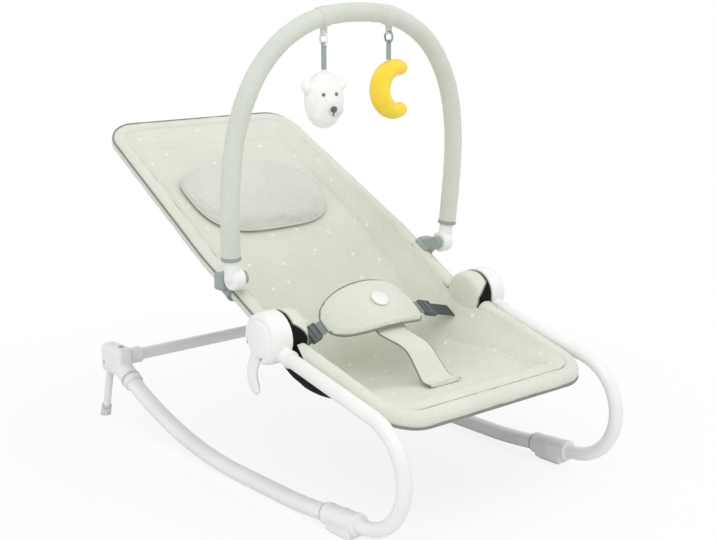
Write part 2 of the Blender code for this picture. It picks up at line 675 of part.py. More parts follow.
def make_hub_housing(side, sign, bend, slope):
    seat_depth = HUB_DEPTH - HUB_WALL
    pin_end = seat_depth + PIN_TIP_DEPTH + GAP
    profile = [(HUB_RADIUS * share, HUB_DEPTH * (1 - down)) for share, down in HUB_CROWN]
    profile += [(CAVITY_RADIUS, 0), (CAVITY_RADIUS, seat_depth), (PIN_RADIUS + GAP, seat_depth)]
    profile += [(PIN_RADIUS + GAP, pin_end), (0, pin_end)]
    housing = turned(f"hub_housing_{side}", profile, sign, 0, "white_plastic")
    tube_end = bend[-1]
    outwards = Vector((0, -slope.x, -slope.y))
    socket_end = tube_end + outwards * (HUB_RADIUS - HUB_TUBE_STOP + HUB_SOCKET_LENGTH)
    socket = cylinder_mesh("hub_socket", tube_end, socket_end, HUB_SOCKET_RADIUS, 16)
    boolean(housing, add_cutter(f"hub_socket_{side}", socket), "UNION")
    bore = [tube_end - outwards * GAP, bend[-2]]
    boolean(housing, tube_cutter(f"hub_tube_bore_{side}", bore, BASE_TUBE_RADIUS + RUNNING_GAP))
    half_slot = LEVER_THICKNESS / 2 + LEVER_RUNNING_GAP
    slot_low = (-half_slot, -LEVER_SLOT_HALF_WIDTH, -HUB_RADIUS - CUT_PAST)
    slot_high = (half_slot, LEVER_SLOT_HALF_WIDTH, -CAVITY_RADIUS / 2)
    slot = box_mesh("lever_slot", slot_low, slot_high)
    turn = Matrix.Rotation(LEVER_REST_ANGLE + LEVER_TRAVEL / 2, 4, "X")
    slot.transform(Matrix.Translation(hub_point(sign, LEVER_DEPTH)) @ turn)
    boolean(housing, add_cutter(f"lever_slot_{side}", slot))


def make_lever(side, sign):
    """A ring round the hub's pin, with a finger tail that hangs below the hub."""
    centre = hub_point(sign, LEVER_DEPTH)
    half = Vector((LEVER_THICKNESS / 2, 0, 0))
    ring = cylinder_mesh("ring", centre - half, centre + half, LEVER_RING_RADIUS, 24)
    ring.transform(Matrix.Translation(-centre))
    lever = add_part(f"release_lever_{side}", ring, "white_plastic")
    lever.location = centre
    path = [centre + Vector((0, y, z)) for y, z, share in LEVER_TAIL]
    radii = [share for y, z, share in LEVER_TAIL]
    curve = path_curve("lever_tail", path, LEVER_HALF_WIDTH, 3, radii=radii)
    tail = solid_from_curve("lever_tail", curve, LEVER_THICKNESS / 2 / LEVER_HALF_WIDTH, centre.x)
    boolean(lever, add_cutter(f"lever_tail_{side}", tail), "UNION")
    bore = cylinder_mesh("lever_bore", centre - half * 2, centre + half * 2, PIN_RADIUS + RUNNING_GAP, 16)
    boolean(lever, add_cutter(f"lever_bore_{side}", bore))


def make_lock_plate(side, sign):
    """A toothed plate behind the hub's inner face."""
    outline = []
    for tooth in range(LOCK_PLATE_TEETH):
        corners = (LOCK_PLATE_ROOT, LOCK_PLATE_RADIUS, LOCK_PLATE_RADIUS, LOCK_PLATE_ROOT)
        for corner, radius in enumerate(corners):
            angle = 2 * math.pi * (tooth + LOCK_PLATE_TOOTH_SHARE * corner) / LOCK_PLATE_TEETH
            outline.append((radius * math.cos(angle), radius * math.sin(angle)))
    curve = bpy.data.curves.new("lock_plate", "CURVE")
    curve.dimensions = "2D"
    curve.fill_mode = "BOTH"
    curve.extrude = LOCK_PLATE_THICKNESS / 2
    spline = curve.splines.new("POLY")
    spline.points.add(len(outline) - 1)
    spline.use_cyclic_u = True
    for index, place in enumerate(outline):
        spline.points[index].co = (*place, 0, 1)
    mesh = solid_from_curve("lock_plate", curve)
    centre = hub_point(sign, LOCK_PLATE_INSET + LOCK_PLATE_THICKNESS / 2)
    plate = add_part(f"lock_plate_{side}", mesh, "steel")
    plate.location = centre
    plate.rotation_euler = (0, sign * math.pi / 2, 0)
    half = Vector((LOCK_PLATE_THICKNESS, 0, 0))
    bore = cylinder_mesh("plate_bore", centre - half, centre + half, PIN_RADIUS + GAP, 16)
    boolean(plate, add_cutter(f"plate_bore_{side}", bore))


def make_lever_spring(side, sign):
    start = LOCK_PLATE_INSET + LOCK_PLATE_THICKNESS + SPRING_WIRE_RADIUS + GAP
    path = []
    for step in range(int(SPRING_TURNS * SPRING_STEPS) + 1):
        turns = step / SPRING_STEPS
        angle = 2 * math.pi * turns
        depth = start + SPRING_PITCH * turns
        y = HUB_Y + SPRING_RADIUS * math.cos(angle)
        path.append(hub_point(sign, depth, y, HUB_Z + SPRING_RADIUS * math.sin(angle)))
    add_part(f"lever_spring_{side}", path_curve("spring", path, SPRING_WIRE_RADIUS, 1), "steel")


def make_hub_pin(side, sign):
    """The hinge pin, from its head in the seat disc to its seat in the hub's outer wall."""
    head = PIN_HEAD_DEPTH - DISC_RUNNING_GAP - DISC_THICKNESS
    start = hub_point(sign, head - PIN_HEAD_DEPTH / 2)
    tip = hub_point(sign, HUB_DEPTH - HUB_WALL + PIN_TIP_DEPTH)
    pin = add_part(f"hub_pin_{side}", cylinder_mesh("hub_pin", start, tip, PIN_RADIUS, 16), "steel")
    cap_start = hub_point(sign, head - PIN_HEAD_DEPTH)
    cap = cylinder_mesh("pin_cap", cap_start, hub_point(sign, head), PIN_HEAD_RADIUS, 16)
    boolean(pin, add_cutter(f"pin_cap_{side}", cap), "UNION")


# Seat frame

BACK_ALONG = Vector((0, math.cos(BACK_ANGLE), math.sin(BACK_ANGLE)))
BACK_UP = Vector((0, -math.sin(BACK_ANGLE), math.cos(BACK_ANGLE)))
FRONT_ALONG = Vector((0, -math.cos(FRONT_ANGLE), -math.sin(FRONT_ANGLE)))
FRONT_UP = Vector((0, -math.sin(FRONT_ANGLE), math.cos(FRONT_ANGLE)))
HUB = Vector((0, HUB_Y, HUB_Z))


def back_point(half, reach):
    return HUB - BACK_UP * BACK_DROP + BACK_ALONG * reach + Vector((half, 0, 0))


def front_point(half, reach):
    return HUB - FRONT_UP * FRONT_DROP + FRONT_ALONG * reach + Vector((half, 0, 0))


def back_half(reach):
    """Half the back frame's width at a distance from the hub, before its corners."""
    if reach < BACK_WIDE_AT:
        return FRAME_HALF_AT_HUB + (BACK_WIDE_HALF - FRAME_HALF_AT_HUB) * reach / BACK_WIDE_AT
    share = (reach - BACK_WIDE_AT) / (BACK_LENGTH - BACK_WIDE_AT)
    return BACK_WIDE_HALF + (BACK_TOP_HALF - BACK_WIDE_HALF) * share


def front_half(reach):
    return FRAME_HALF_AT_HUB + (FRONT_END_HALF - FRAME_HALF_AT_HUB) * reach / FRONT_LENGTH


def back_outline(start):
    """The back frame's right half as (half width, reach) points, from the hub to the middle."""
    corners = [(back_half(start), start), (BACK_WIDE_HALF, BACK_WIDE_AT)]
    corners += [(BACK_TOP_HALF, BACK_LENGTH), (0, BACK_LENGTH)]
    return round_corners([Vector((*corner, 0)) for corner in corners], [BACK_WIDE_AT, BACK_CORNER_RADIUS])


def front_outline(start):
    corners = [(front_half(start), start), (FRONT_END_HALF, FRONT_LENGTH), (0, FRONT_LENGTH)]
    return round_corners([Vector((*corner, 0)) for corner in corners], [FRONT_CORNER_RADIUS])


def frame_path(outline, place):
    """The whole frame's path, from the right half of its outline."""
    return [place(-p.x, p.y) for p in outline] + [place(p.x, p.y) for p in reversed(outline[:-1])]


def back_path(start):
    return frame_path(back_outline(start), back_point)


def front_path(start):
    return frame_path(front_outline(start), front_point)


def make_seat_frame():
    for name, path in (("back", back_path), ("front", front_path)):
        tube = path(FRAME_TUBE_START)
        hollow_tube(f"{name}_frame_tube", tube, FRAME_TUBE_RADIUS, FRAME_TUBE_WALL, "steel", 2)
        wall = EDGE_SLEEVE_RADIUS - FRAME_TUBE_RADIUS - RUNNING_GAP
        sleeve = path(EDGE_SLEEVE_START)
        hollow_tube(f"{name}_edge_sleeve", sleeve, EDGE_SLEEVE_RADIUS, wall, "sage_fabric", 2)


def make_seat_disc(side, sign):
    thickness = DISC_THICKNESS
    rim = DISC_RADIUS - DISC_EDGE
    hole, sink = PIN_RADIUS + RUNNING_GAP, PIN_HEAD_RADIUS + RUNNING_GAP
    profile = [(hole, thickness), (rim, thickness), (DISC_RADIUS, thickness - DISC_EDGE)]
    profile += [(DISC_RADIUS, DISC_EDGE), (rim, 0), (sink, 0)]
    profile += [(sink, PIN_HEAD_DEPTH + GAP), (hole, PIN_HEAD_DEPTH + GAP)]
    depth = -DISC_RUNNING_GAP - thickness
    disc = turned(f"seat_disc_{side}", profile, sign, depth, "white_plastic", True)
    for name, path in (("back", back_path), ("front", front_path)):
        places = path(FRAME_TUBE_START - GAP)
        ends = places[:2] if sign < 0 else [places[-1], places[-2]]
        bore = tube_cutter(f"disc_{name}_bore_{side}", ends, FRAME_TUBE_RADIUS + RUNNING_GAP)
        boolean(disc, bore)


# Seat cover


def inner_edge(outline, place, slope):
    """The outline moved inwards past the edge sleeve, measured as seen from above."""
    inset = EDGE_SLEEVE_RADIUS + RUNNING_GAP
    flat = math.cos(slope)
    rows = []
    for index, corner in enumerate(outline[:-1]):
        step = outline[index + 1] - outline[max(index - 1, 0)]
        along = Vector((step.x, step.y * flat)).normalized()
        rows.append(place(corner.x - along.y * inset, corner.y + along.x * inset / flat))
    return rows


def cover_rows():
    """Rows from the head edge to the feet edge, with more rows on the long straight runs."""
    hub_limit = HUB_INNER_X - DISC_RUNNING_GAP - DISC_THICKNESS - RUNNING_GAP
    corners = inner_edge(back_outline(EDGE_SLEEVE_START), back_point, BACK_ANGLE)[::-1]
    corners += inner_edge(front_outline(EDGE_SLEEVE_START), front_point, FRONT_ANGLE)
    rows = [corners[0]]
    for place in corners[1:]:
        start = rows[-1]
        steps = max(1, round((place - start).length / COVER_ROW_STEP))
        rows += [start.lerp(place, (step + 1) / steps) for step in range(steps)]
    for row in rows:
        if abs(row.y - HUB_Y) < COVER_HUB_REACH:
            row.x = min(row.x, hub_limit)
    return rows


def smooth_step(value):
    value = max(0.0, min(1.0, value))
    return value * value * (3 - 2 * value)


def cover_depth(y, rows):
    """How far the fabric hangs below the frame on the middle line."""
    spread = HOLLOW_SPREAD_HEAD if y > HOLLOW_Y else HOLLOW_SPREAD_FEET
    hollow = HOLLOW_DEPTH * math.exp(-(((y - HOLLOW_Y) / spread) ** 2))
    from_end = min(rows[0].y - y, y - rows[-1].y)
    return (BACK_SAG + hollow) * smooth_step(from_end / END_SAG_SPREAD)


def cover_under(row, share, rows):
    return row.z - cover_depth(row.y, rows) * (1 - abs(share) ** COVER_SIDE_POWER)


def cover_padding(share):
    """The padding's height: crowned inside the side seams, thin at them and at the edge."""
    if abs(share) < COVER_SEAM:
        return COVER_THIN + COVER_CROWN * math.sqrt(1 - (share / COVER_SEAM) ** 2)
    middle = (1 + COVER_SEAM) / 2
    return COVER_THIN + COVER_EDGE_CROWN * (1 - abs(abs(share) - middle) / (1 - middle))


def across_shares():
    return [-share for share in reversed(COVER_SHARES[1:])] + list(COVER_SHARES)


def loft_mesh(name, top, bottom):
    """A closed body between two grids of points that have the same rows and columns."""
    rows, columns = len(top), len(top[0])
    work = bmesh.new()
    grids = [[[work.verts.new(place) for place in row] for row in grid] for grid in (top, bottom)]
    for grid in grids:
        for r in range(rows - 1):
            for c in range(columns - 1):
                work.faces.new((grid[r][c], grid[r][c + 1], grid[r + 1][c + 1], grid[r + 1][c]))
    rim = [(0, c) for c in range(columns)] + [(r, columns - 1) for r in range(1, rows)]
    rim += [(rows - 1, c) for c in range(columns - 2, -1, -1)] + [(r, 0) for r in range(rows - 2, 0, -1)]
    for (r, c), (r2, c2) in zip(rim, rim[1:] + rim[:1]):
        work.faces.new((grids[0][r][c], grids[0][r2][c2], grids[1][r2][c2], grids[1][r][c]))
    return finish_mesh(bpy.data.meshes.new(name), work)


def make_cover(rows):
    """The padded cover between the edge sleeves, and the lining right under it."""
    shares = across_shares()
    under = [[Vector((row.x * s, row.y, cover_under(row, s, rows))) for s in shares] for row in rows]
    over = [[p + Vector((0, 0, cover_padding(s))) for p, s in zip(line, shares)] for line in under]
    add_part("seat_cover", loft_mesh("seat_cover", over, under), "sage_fabric")
    lining_top = [[p - Vector((0, 0, RUNNING_GAP)) for p in line[1:-1]] for line in under[1:-1]]
    lining_low = [[p - Vector((0, 0, LINING_THICKNESS)) for p in line] for line in lining_top]
    add_part("seat_lining", loft_mesh("seat_lining", lining_top, lining_low), "black_lining")
    return over


def height_over(grid, x, y):
    """The cover's top at a place, read from the flat pieces between its rows."""
    for line, after in zip(grid, grid[1:]):
        if after[0].y <= y <= line[0].y:
            share = (line[0].y - y) / (line[0].y - after[0].y)
            mixed = [a.lerp(b, share) for a, b in zip(line, after)]
            for left, right in zip(mixed, mixed[1:]):
                if left.x <= x <= right.x:
                    return left.lerp(right, (x - left.x) / (right.x - left.x)).z
    raise ValueError(f"no cover at {x}, {y}")


def cushion_mesh(name, half_width, half_length, crown, edge, place):
    """A crowned pad on a flat or bent seat: place(x, y, height) puts its points."""
    work = bmesh.new()
    bmesh.ops.create_uvsphere(work, u_segments=24, v_segments=10, radius=1.0)
    for vertex in work.verts:
        a, b, c = vertex.co
        angle = math.atan2(b, a)
        sides = abs(math.cos(angle)) ** CUSHION_SQUARENESS + abs(math.sin(angle)) ** CUSHION_SQUARENESS
        square = sides ** (-1 / CUSHION_SQUARENESS)
        height = edge + crown * c if c > 0 else edge * (1 + c) ** 2
        vertex.co = place(half_width * a * square, half_length * b * square, height)
    return finish_mesh(bpy.data.meshes.new(name), work)


def make_pillow(over):
    def place(x, along, height):
        y = PILLOW_CENTRE_Y + along * math.cos(BACK_ANGLE)
        return Vector((x, y, height_over(over, x, y) + PILLOW_LIFT + height))

    sizes = (PILLOW_HALF_WIDTH, PILLOW_HALF_LENGTH, PILLOW_CROWN, PILLOW_EDGE)
    add_part("head_pillow", cushion_mesh("head_pillow", *sizes, place), "pillow_fabric")


# Harness

WAIST_CENTRE = Vector((0, WAIST_CENTRE_Y, WAIST_CENTRE_Z))
WAIST_ALONG = Vector((0, math.cos(WAIST_TILT), math.sin(WAIST_TILT)))
WAIST_UP = Vector((0, -math.sin(WAIST_TILT), math.cos(WAIST_TILT)))


def waist_point(x, along, height):
    arch = WAIST_ARCH * (x / WAIST_HALF_WIDTH) ** 2
    return WAIST_CENTRE + Vector((x, 0, 0)) + WAIST_ALONG * along + WAIST_UP * (height - arch)


def ribbon_mesh(name, path, across, widths, thickness):
    """A flat strap along the path, closed at both ends."""
    top, bottom = [], []
    for index, place in enumerate(path):
        along = path[min(index + 1, len(path) - 1)] - path[max(index - 1, 0)]
        normal = across.cross(along).normalized() * thickness / 2
        side = across * widths[index] / 2
        top.append([place - side + normal, place + side + normal])
        bottom.append([place - side - normal, place + side - normal])
    return loft_mesh(name, top, bottom)


def make_harness(over):
    bend = (WAIST_HALF_WIDTH, WAIST_HALF_LENGTH, WAIST_CROWN, WAIST_EDGE)
    add_part("waist_panel", cushion_mesh("waist_panel", *bend, waist_point), "sage_fabric")
    top = waist_point(0, 0, WAIST_EDGE + WAIST_CROWN + GAP)
    badge = cylinder_mesh("harness_badge", top, top + WAIST_UP * BADGE_THICKNESS, BADGE_RADIUS, 28)
    add_part("harness_badge", badge, "white_plastic")
    make_crotch_panel(over)
    for side, sign in SIDES.items():
        make_side_strap(side, sign, over)


def make_crotch_panel(over):
    """A padded strip from under the waist panel down to the cover, between the legs."""
    across = Vector((1, 0, 0))
    drop = WAIST_ARCH * (CROTCH_END_WIDTH / 2 / WAIST_HALF_WIDTH) ** 2
    under = -CROTCH_THICKNESS / 2 - CROTCH_CLEARANCE - drop
    shares = (CROTCH_START_SHARE, CROTCH_EDGE_SHARE)
    corners = [waist_point(0, -WAIST_HALF_LENGTH * share, under) for share in shares]
    corners.append(Vector((0, CROTCH_KNEE_Y, CROTCH_KNEE_Z)))
    for y in (CROTCH_END_Y + CROTCH_LAP, CROTCH_END_Y):
        rest = max(height_over(over, x, y) for x in (0, CROTCH_END_WIDTH / 2))
        corners.append(Vector((0, y, rest + CROTCH_THICKNESS / 2 + CROTCH_CLEARANCE)))
    path = round_corners(corners, CROTCH_BEND_RADII)
    widths = []
    for index in range(len(path)):
        waist = math.sin(math.pi * index / (len(path) - 1))
        widths.append(CROTCH_END_WIDTH - (CROTCH_END_WIDTH - CROTCH_WIDTH) * waist)
    mesh = ribbon_mesh("crotch_panel", path, across, widths, CROTCH_THICKNESS)
    add_part("crotch_panel", mesh, "sage_fabric")


def make_side_strap(side, sign, over):
    """Webbing from the cover to a buckle, and the tongue that is sewn to the waist panel's end."""
    panel_end = waist_point(sign * (WAIST_HALF_WIDTH + 2 * GAP), 0, WAIST_EDGE)
    x = sign * WEBBING_SIDE_X
    rest = []
    for edge in (-WEBBING_WIDTH / 2, WEBBING_WIDTH / 2):
        y = WAIST_CENTRE_Y + edge * WAIST_ALONG.y
        rest.append(height_over(over, x, y) - edge * WAIST_ALONG.z)
    anchor = Vector((x, WAIST_CENTRE_Y, max(rest) + WEBBING_THICKNESS / 2 / WAIST_UP.z + GAP))
    line = (panel_end - anchor).normalized()
    length = (panel_end - anchor).length
    buckle_end = length - TONGUE_LENGTH
    buckle_start = buckle_end - BUCKLE_LENGTH
    pieces = (
        ("harness_webbing", 0, buckle_start - GAP, WEBBING_WIDTH, WEBBING_THICKNESS, "dark_webbing"),
        ("buckle", buckle_start, buckle_end, BUCKLE_WIDTH, BUCKLE_THICKNESS, "grey_plastic"),
        ("buckle_tongue", buckle_end + GAP, length, WEBBING_WIDTH, WEBBING_THICKNESS, "sage_trim"),
    )
    for name, first, last, width, thickness, finish in pieces:
        path = [anchor + line * (first + (last - first) * step / 2) for step in range(3)]
        mesh = ribbon_mesh(name, path, WAIST_ALONG * sign, [width] * 3, thickness)
        add_part(f"{name}_{side}", mesh, finish)


# Toy arch


def arch_point(x, z):
    return Vector((x, ARCH_PIVOT_Y - (z - ARCH_PIVOT_Z) * math.tan(ARCH_LEAN), z))


def arch_half(z):
    rise = (z - ARCH_SPRING_Z) / (ARCH_TOP_Z - ARCH_SPRING_Z)
    if rise > 0:
        return ARCH_HALF_WIDTH * (1 - rise**ARCH_POWER) ** (1 / ARCH_POWER)
    drop = (ARCH_SPRING_Z - z) / (ARCH_SPRING_Z - ARCH_PIVOT_Z)
    return ARCH_HALF_WIDTH - (ARCH_HALF_WIDTH - ARCH_NECK_HALF) * drop**2


def arch_height(x):
    """The arch's centre height over a place nearer the middle than its springing."""
    fall = (abs(x) / ARCH_HALF_WIDTH) ** ARCH_POWER
    return ARCH_SPRING_Z + (ARCH_TOP_Z - ARCH_SPRING_Z) * (1 - fall) ** (1 / ARCH_POWER)


def arch_path(start_z):
    heights = [start_z + (ARCH_SPRING_Z - start_z) * step / ARCH_LEG_STEPS for step in range(ARCH_LEG_STEPS)]
    right = [arch_point(-arch_half(z), z) for z in heights]
    for step in range(ARCH_STEPS):
        angle = math.pi / 2 * step / ARCH_STEPS
        x = ARCH_HALF_WIDTH * math.cos(angle) ** (2 / ARCH_POWER)
        z = ARCH_SPRING_Z + (ARCH_TOP_Z - ARCH_SPRING_Z) * math.sin(angle) ** (2 / ARCH_POWER)
        right.append(arch_point(-x, z))
    return right + [arch_point(0, ARCH_TOP_Z)] + [Vector((-p.x, p.y, p.z)) for p in reversed(right)]


def make_arch():
    core = path_curve("arch_core", arch_path(ARCH_CORE_START_Z), ARCH_CORE_RADIUS, 2)
    add_part("arch_core", core, "white_plastic")
    wall = ARCH_SLEEVE_RADIUS - ARCH_CORE_RADIUS - RUNNING_GAP
    hollow_tube("arch_sleeve", arch_path(ARCH_SLEEVE_END_Z), ARCH_SLEEVE_RADIUS, wall, "sage_fabric", 2)


def make_knuckle(side, sign):
    """A rounded hinge block on the arch's end, turning on the clip's stub."""
    pivot = Vector((sign * (KNUCKLE_INNER_X + KNUCKLE_THICKNESS / 2), ARCH_PIVOT_Y, ARCH_PIVOT_Z))
    half = Vector((KNUCKLE_THICKNESS / 2, 0, 0))
    body = cylinder_mesh("knuckle", pivot - half, pivot + half, KNUCKLE_RADIUS, 20)
    body.transform(Matrix.Translation(-pivot))
    knuckle = add_part(f"arch_knuckle_{side}", body, "white_plastic")
    knuckle.location = pivot
    ends = [arch_point(sign * arch_half(z), z) for z in (ARCH_PIVOT_Z, ARCH_SLEEVE_END_Z - RUNNING_GAP)]
    neck = cylinder_mesh("knuckle_neck", *ends, KNUCKLE_NECK_RADIUS, 16)
    boolean(knuckle, add_cutter(f"knuckle_neck_{side}", neck), "UNION")
    heights = (ARCH_CORE_START_Z - GAP, ARCH_SLEEVE_END_Z + CUT_PAST)
    bore = [arch_point(sign * arch_half(z), z) for z in heights]
    boolean(knuckle, tube_cutter(f"knuckle_bore_{side}", bore, ARCH_CORE_RADIUS + RUNNING_GAP))
    inner = pivot.copy()
    inner.x = sign * (KNUCKLE_INNER_X - CUT_PAST)
    stub_end = pivot.copy()
    stub_end.x = sign * (KNUCKLE_INNER_X + CLIP_STUB_LENGTH + RUNNING_GAP)
    socket = cylinder_mesh("stub_socket", inner, stub_end, CLIP_STUB_RADIUS + RUNNING_GAP, 16)
    boolean(knuckle, add_cutter(f"stub_socket_{side}", socket))


def make_clip(side, sign):
    """A clip that snaps over the seat frame's edge and carries the arch's hinge stub."""
    reach = (CLIP_Y - back_point(0, 0).y) / BACK_ALONG.y
    tube = back_point(sign * back_half(reach), reach)
    start, end = tube - BACK_ALONG * CLIP_LENGTH / 2, tube + BACK_ALONG * CLIP_LENGTH / 2
    clip = add_part(f"arch_clip_{side}", cylinder_mesh("clip", start, end, CLIP_RADIUS, 20), "grey_plastic")
    size = Vector(CLIP_BLOCK_SIZE)
    centre = Vector((sign * CLIP_BLOCK_X, CLIP_Y, CLIP_BLOCK_Z))
    block = box_mesh("clip_block", centre - size / 2, centre + size / 2, CLIP_BLOCK_ROUNDING, 1)
    boolean(clip, add_cutter(f"clip_block_{side}", block), "UNION")
    arm_x = sign * (KNUCKLE_INNER_X - RUNNING_GAP - CLIP_ARM_THICKNESS / 2)
    pivot = Vector((arm_x, ARCH_PIVOT_Y, ARCH_PIVOT_Z))
    half = Vector((CLIP_ARM_THICKNESS / 2, 0, 0))
    eye = cylinder_mesh("clip_eye", pivot - half, pivot + half, CLIP_ARM_RADIUS, 20)
    boolean(clip, add_cutter(f"clip_eye_{side}", eye), "UNION")
    target = Vector((arm_x, CLIP_Y, CLIP_BLOCK_Z))
    line = target - pivot
    half_arm = Vector((CLIP_ARM_THICKNESS / 2 - GAP, CLIP_ARM_HALF_WIDTH, 0))
    arm = box_mesh("clip_arm", -half_arm, half_arm + Vector((0, 0, line.length)))
    arm.transform(Matrix.Translation(pivot) @ turn_to(line))
    boolean(clip, add_cutter(f"clip_arm_{side}", arm), "UNION")
    stub_end = pivot.copy()
    stub_end.x = sign * (KNUCKLE_INNER_X + CLIP_STUB_LENGTH)
    stub = cylinder_mesh("clip_stub", pivot, stub_end, CLIP_STUB_RADIUS, 16)
    boolean(clip, add_cutter(f"clip_stub_{side}", stub), "UNION")
    bore_radius = EDGE_SLEEVE_RADIUS + RUNNING_GAP
    boolean(clip, tube_cutter(f"clip_bore_{side}", back_path(EDGE_SLEEVE_START), bore_radius, 2))
    inner = tube.x - sign * CLIP_MOUTH
    around = Vector((0, 1, 1)) * CLIP_RADIUS * 2
    low = Vector((min(0, inner), start.y, start.z)) - around
    high = Vector((max(0, inner), end.y, end.z)) + around
    boolean(clip, add_cutter(f"clip_mouth_{side}", box_mesh("clip_mouth", low, high)))


# Toys


def make_band(side, x, arch_cutter):
    """A fabric band round the arch, with a tab whose hole holds the toy's ring."""
    centre = arch_point(x, arch_height(x))
    ahead = arch_point(x + BAND_WIDTH, arch_height(x + BAND_WIDTH)) - centre
    half = ahead.normalized() * BAND_WIDTH / 2
    ring = cylinder_mesh("band", centre - half, centre + half, BAND_RADIUS, 16)
    band = add_part(f"toy_band_{side}", ring, "sage_fabric")
    low = centre - Vector((TAB_WIDTH / 2, TAB_THICKNESS / 2, BAND_RADIUS + TAB_DROP))
    high = centre + Vector((TAB_WIDTH / 2, TAB_THICKNESS / 2, -ARCH_SLEEVE_RADIUS - RUNNING_GAP))
    boolean(band, add_cutter(f"band_tab_{side}", box_mesh("band_tab", low, high)), "UNION")
    boolean(band, arch_cutter)
    hole = centre - Vector((0, 0, BAND_RADIUS + TAB_DROP - TAB_HOLE_RADIUS - TAB_HOLE_WALL))
    through = Vector((0, TAB_THICKNESS, 0))
    bore = cylinder_mesh("tab_hole", hole - through, hole + through, TAB_HOLE_RADIUS, 12)
    boolean(band, add_cutter(f"tab_hole_{side}", bore))
    return hole - Vector((0, 0, TAB_HOLE_RADIUS - RING_WIRE_RADIUS - RING_PLAY))


def make_ring_and_strap(toy, hang, strap_length, finish):
    """The ring through the band's tab, and the strap below it. Its pivot is the ring's top side."""
    centre = hang - Vector((0, 0, RING_REACH))
    path = []
    for step in range(RING_STEPS):
        angle = 2 * math.pi * (step + 0.5) / RING_STEPS
        around = Vector((0, math.sin(angle), math.cos(angle)))
        path.append(centre - hang + RING_RADIUS * around)
    ring = add_part(f"{toy}_ring", path_curve("ring", path, RING_WIRE_RADIUS, 1, closed=True), finish)
    ring.location = hang
    eye = centre - Vector((0, 0, RING_REACH + STRAP_HOLE_RADIUS - RING_WIRE_RADIUS - GAP))
    top = eye.z + STRAP_HOLE_RADIUS + STRAP_HOLE_WALL
    low = Vector((hang.x - STRAP_WIDTH / 2, hang.y - STRAP_THICKNESS / 2, top - strap_length))
    high = Vector((hang.x + STRAP_WIDTH / 2, hang.y + STRAP_THICKNESS / 2, top))
    strap = add_part(f"{toy}_strap", box_mesh("strap", low, high), "dark_webbing")
    through = Vector((0, STRAP_THICKNESS, 0))
    hole = cylinder_mesh("strap_hole", eye - through, eye + through, STRAP_HOLE_RADIUS, 12)
    boolean(strap, add_cutter(f"{toy}_strap_hole", hole))
    return Vector((hang.x, hang.y, low.z))


def make_animal(strap_end):
    """A stuffed animal's head with two ears, and its muzzle."""
    centre = strap_end - Vector((0, 0, HEAD_HALF_HEIGHT + GAP))
    halves = Vector((HEAD_HALF_WIDTH, HEAD_HALF_DEPTH, HEAD_HALF_HEIGHT))
    head = add_part("animal_head", ellipsoid_mesh("animal_head", centre, halves, 16, 11), "white_plush")
    for side, sign in SIDES.items():
        place = centre + Vector((sign * EAR_OFFSET[0], EAR_OFFSET[1], EAR_OFFSET[2]))
        ear = ellipsoid_mesh("ear", place, (EAR_HALF_WIDTH, EAR_HALF_DEPTH, EAR_HALF_HEIGHT), 10, 7)
        boolean(head, add_cutter(f"ear_{side}", ear), "UNION")
    grown = ellipsoid_mesh("muzzle_cut", centre, halves + Vector((GAP, GAP, GAP)), 16, 11)
    halves = (MUZZLE_HALF_WIDTH, MUZZLE_HALF_DEPTH, MUZZLE_HALF_HEIGHT)
    muzzle = ellipsoid_mesh("muzzle", centre + Vector(MUZZLE_OFFSET), halves, 12, 8)
    boolean(add_part("animal_muzzle", muzzle, "grey_plush"), add_cutter("muzzle_cut", grown))


def moon_radius(share):
    """The crescent's thickness along its arc: full in the middle, less towards its round ends."""
    from_middle = abs(2 * share - 1)
    full = MOON_BODY_RADIUS + (MOON_END_RADIUS - MOON_BODY_RADIUS) * from_middle**2
    rounding = max(0, from_middle - MOON_ROUNDING_START) / (1 - MOON_ROUNDING_START)
    return max(MOON_TIP_RADIUS, full * math.sqrt(1 - rounding**2))


def top_of(mesh, x):
    """The height of the mesh's top over a place on the X axis."""
    work = bmesh.new()
    work.from_mesh(mesh)
    above = Vector((x, 0, MOON_ARC_RADIUS * 3))
    place, normal, face, distance = BVHTree.FromBMesh(work).ray_cast(above, Vector((0, 0, -1)))
    work.free()
    return place.z


def make_moon(strap_end):
    """A crescent: a tube bent round an arc, whose top seats on the strap's end."""
    path, radii = [], []
    for step in range(MOON_STEPS + 1):
        share = (1 - math.cos(math.pi * step / MOON_STEPS)) / 2
        angle = MOON_OPENING + (2 * math.pi - 2 * MOON_OPENING) * share
        path.append(Vector((MOON_ARC_RADIUS * math.cos(angle), 0, MOON_ARC_RADIUS * math.sin(angle))))
        radii.append(moon_radius(share) / MOON_BODY_RADIUS)
    curve = path_curve("toy_moon", path, MOON_BODY_RADIUS, 3, radii=radii)
    mesh = solid_from_curve("toy_moon", curve)
    tops = [top_of(mesh, share * STRAP_WIDTH / 2 - MOON_STRAP_OFFSET) for share in (-1, 0, 1)]
    moon = add_part("toy_moon", mesh, "yellow_plush")
    moon.location = strap_end + Vector((MOON_STRAP_OFFSET, 0, -max(tops) - GAP))


# Pivots

SEAT_PIECES = ("back_frame_tube", "front_frame_tube", "back_edge_sleeve", "front_edge_sleeve")
SEAT_PIECES += ("seat_cover", "seat_lining", "head_pillow", "waist_panel", "crotch_panel", "harness_badge")
SEAT_PAIRS = ("seat_disc", "arch_clip", "harness_webbing", "buckle", "buckle_tongue")


def both_sides(names):
    return [f"{name}_{side}" for name in names for side in SIDES]


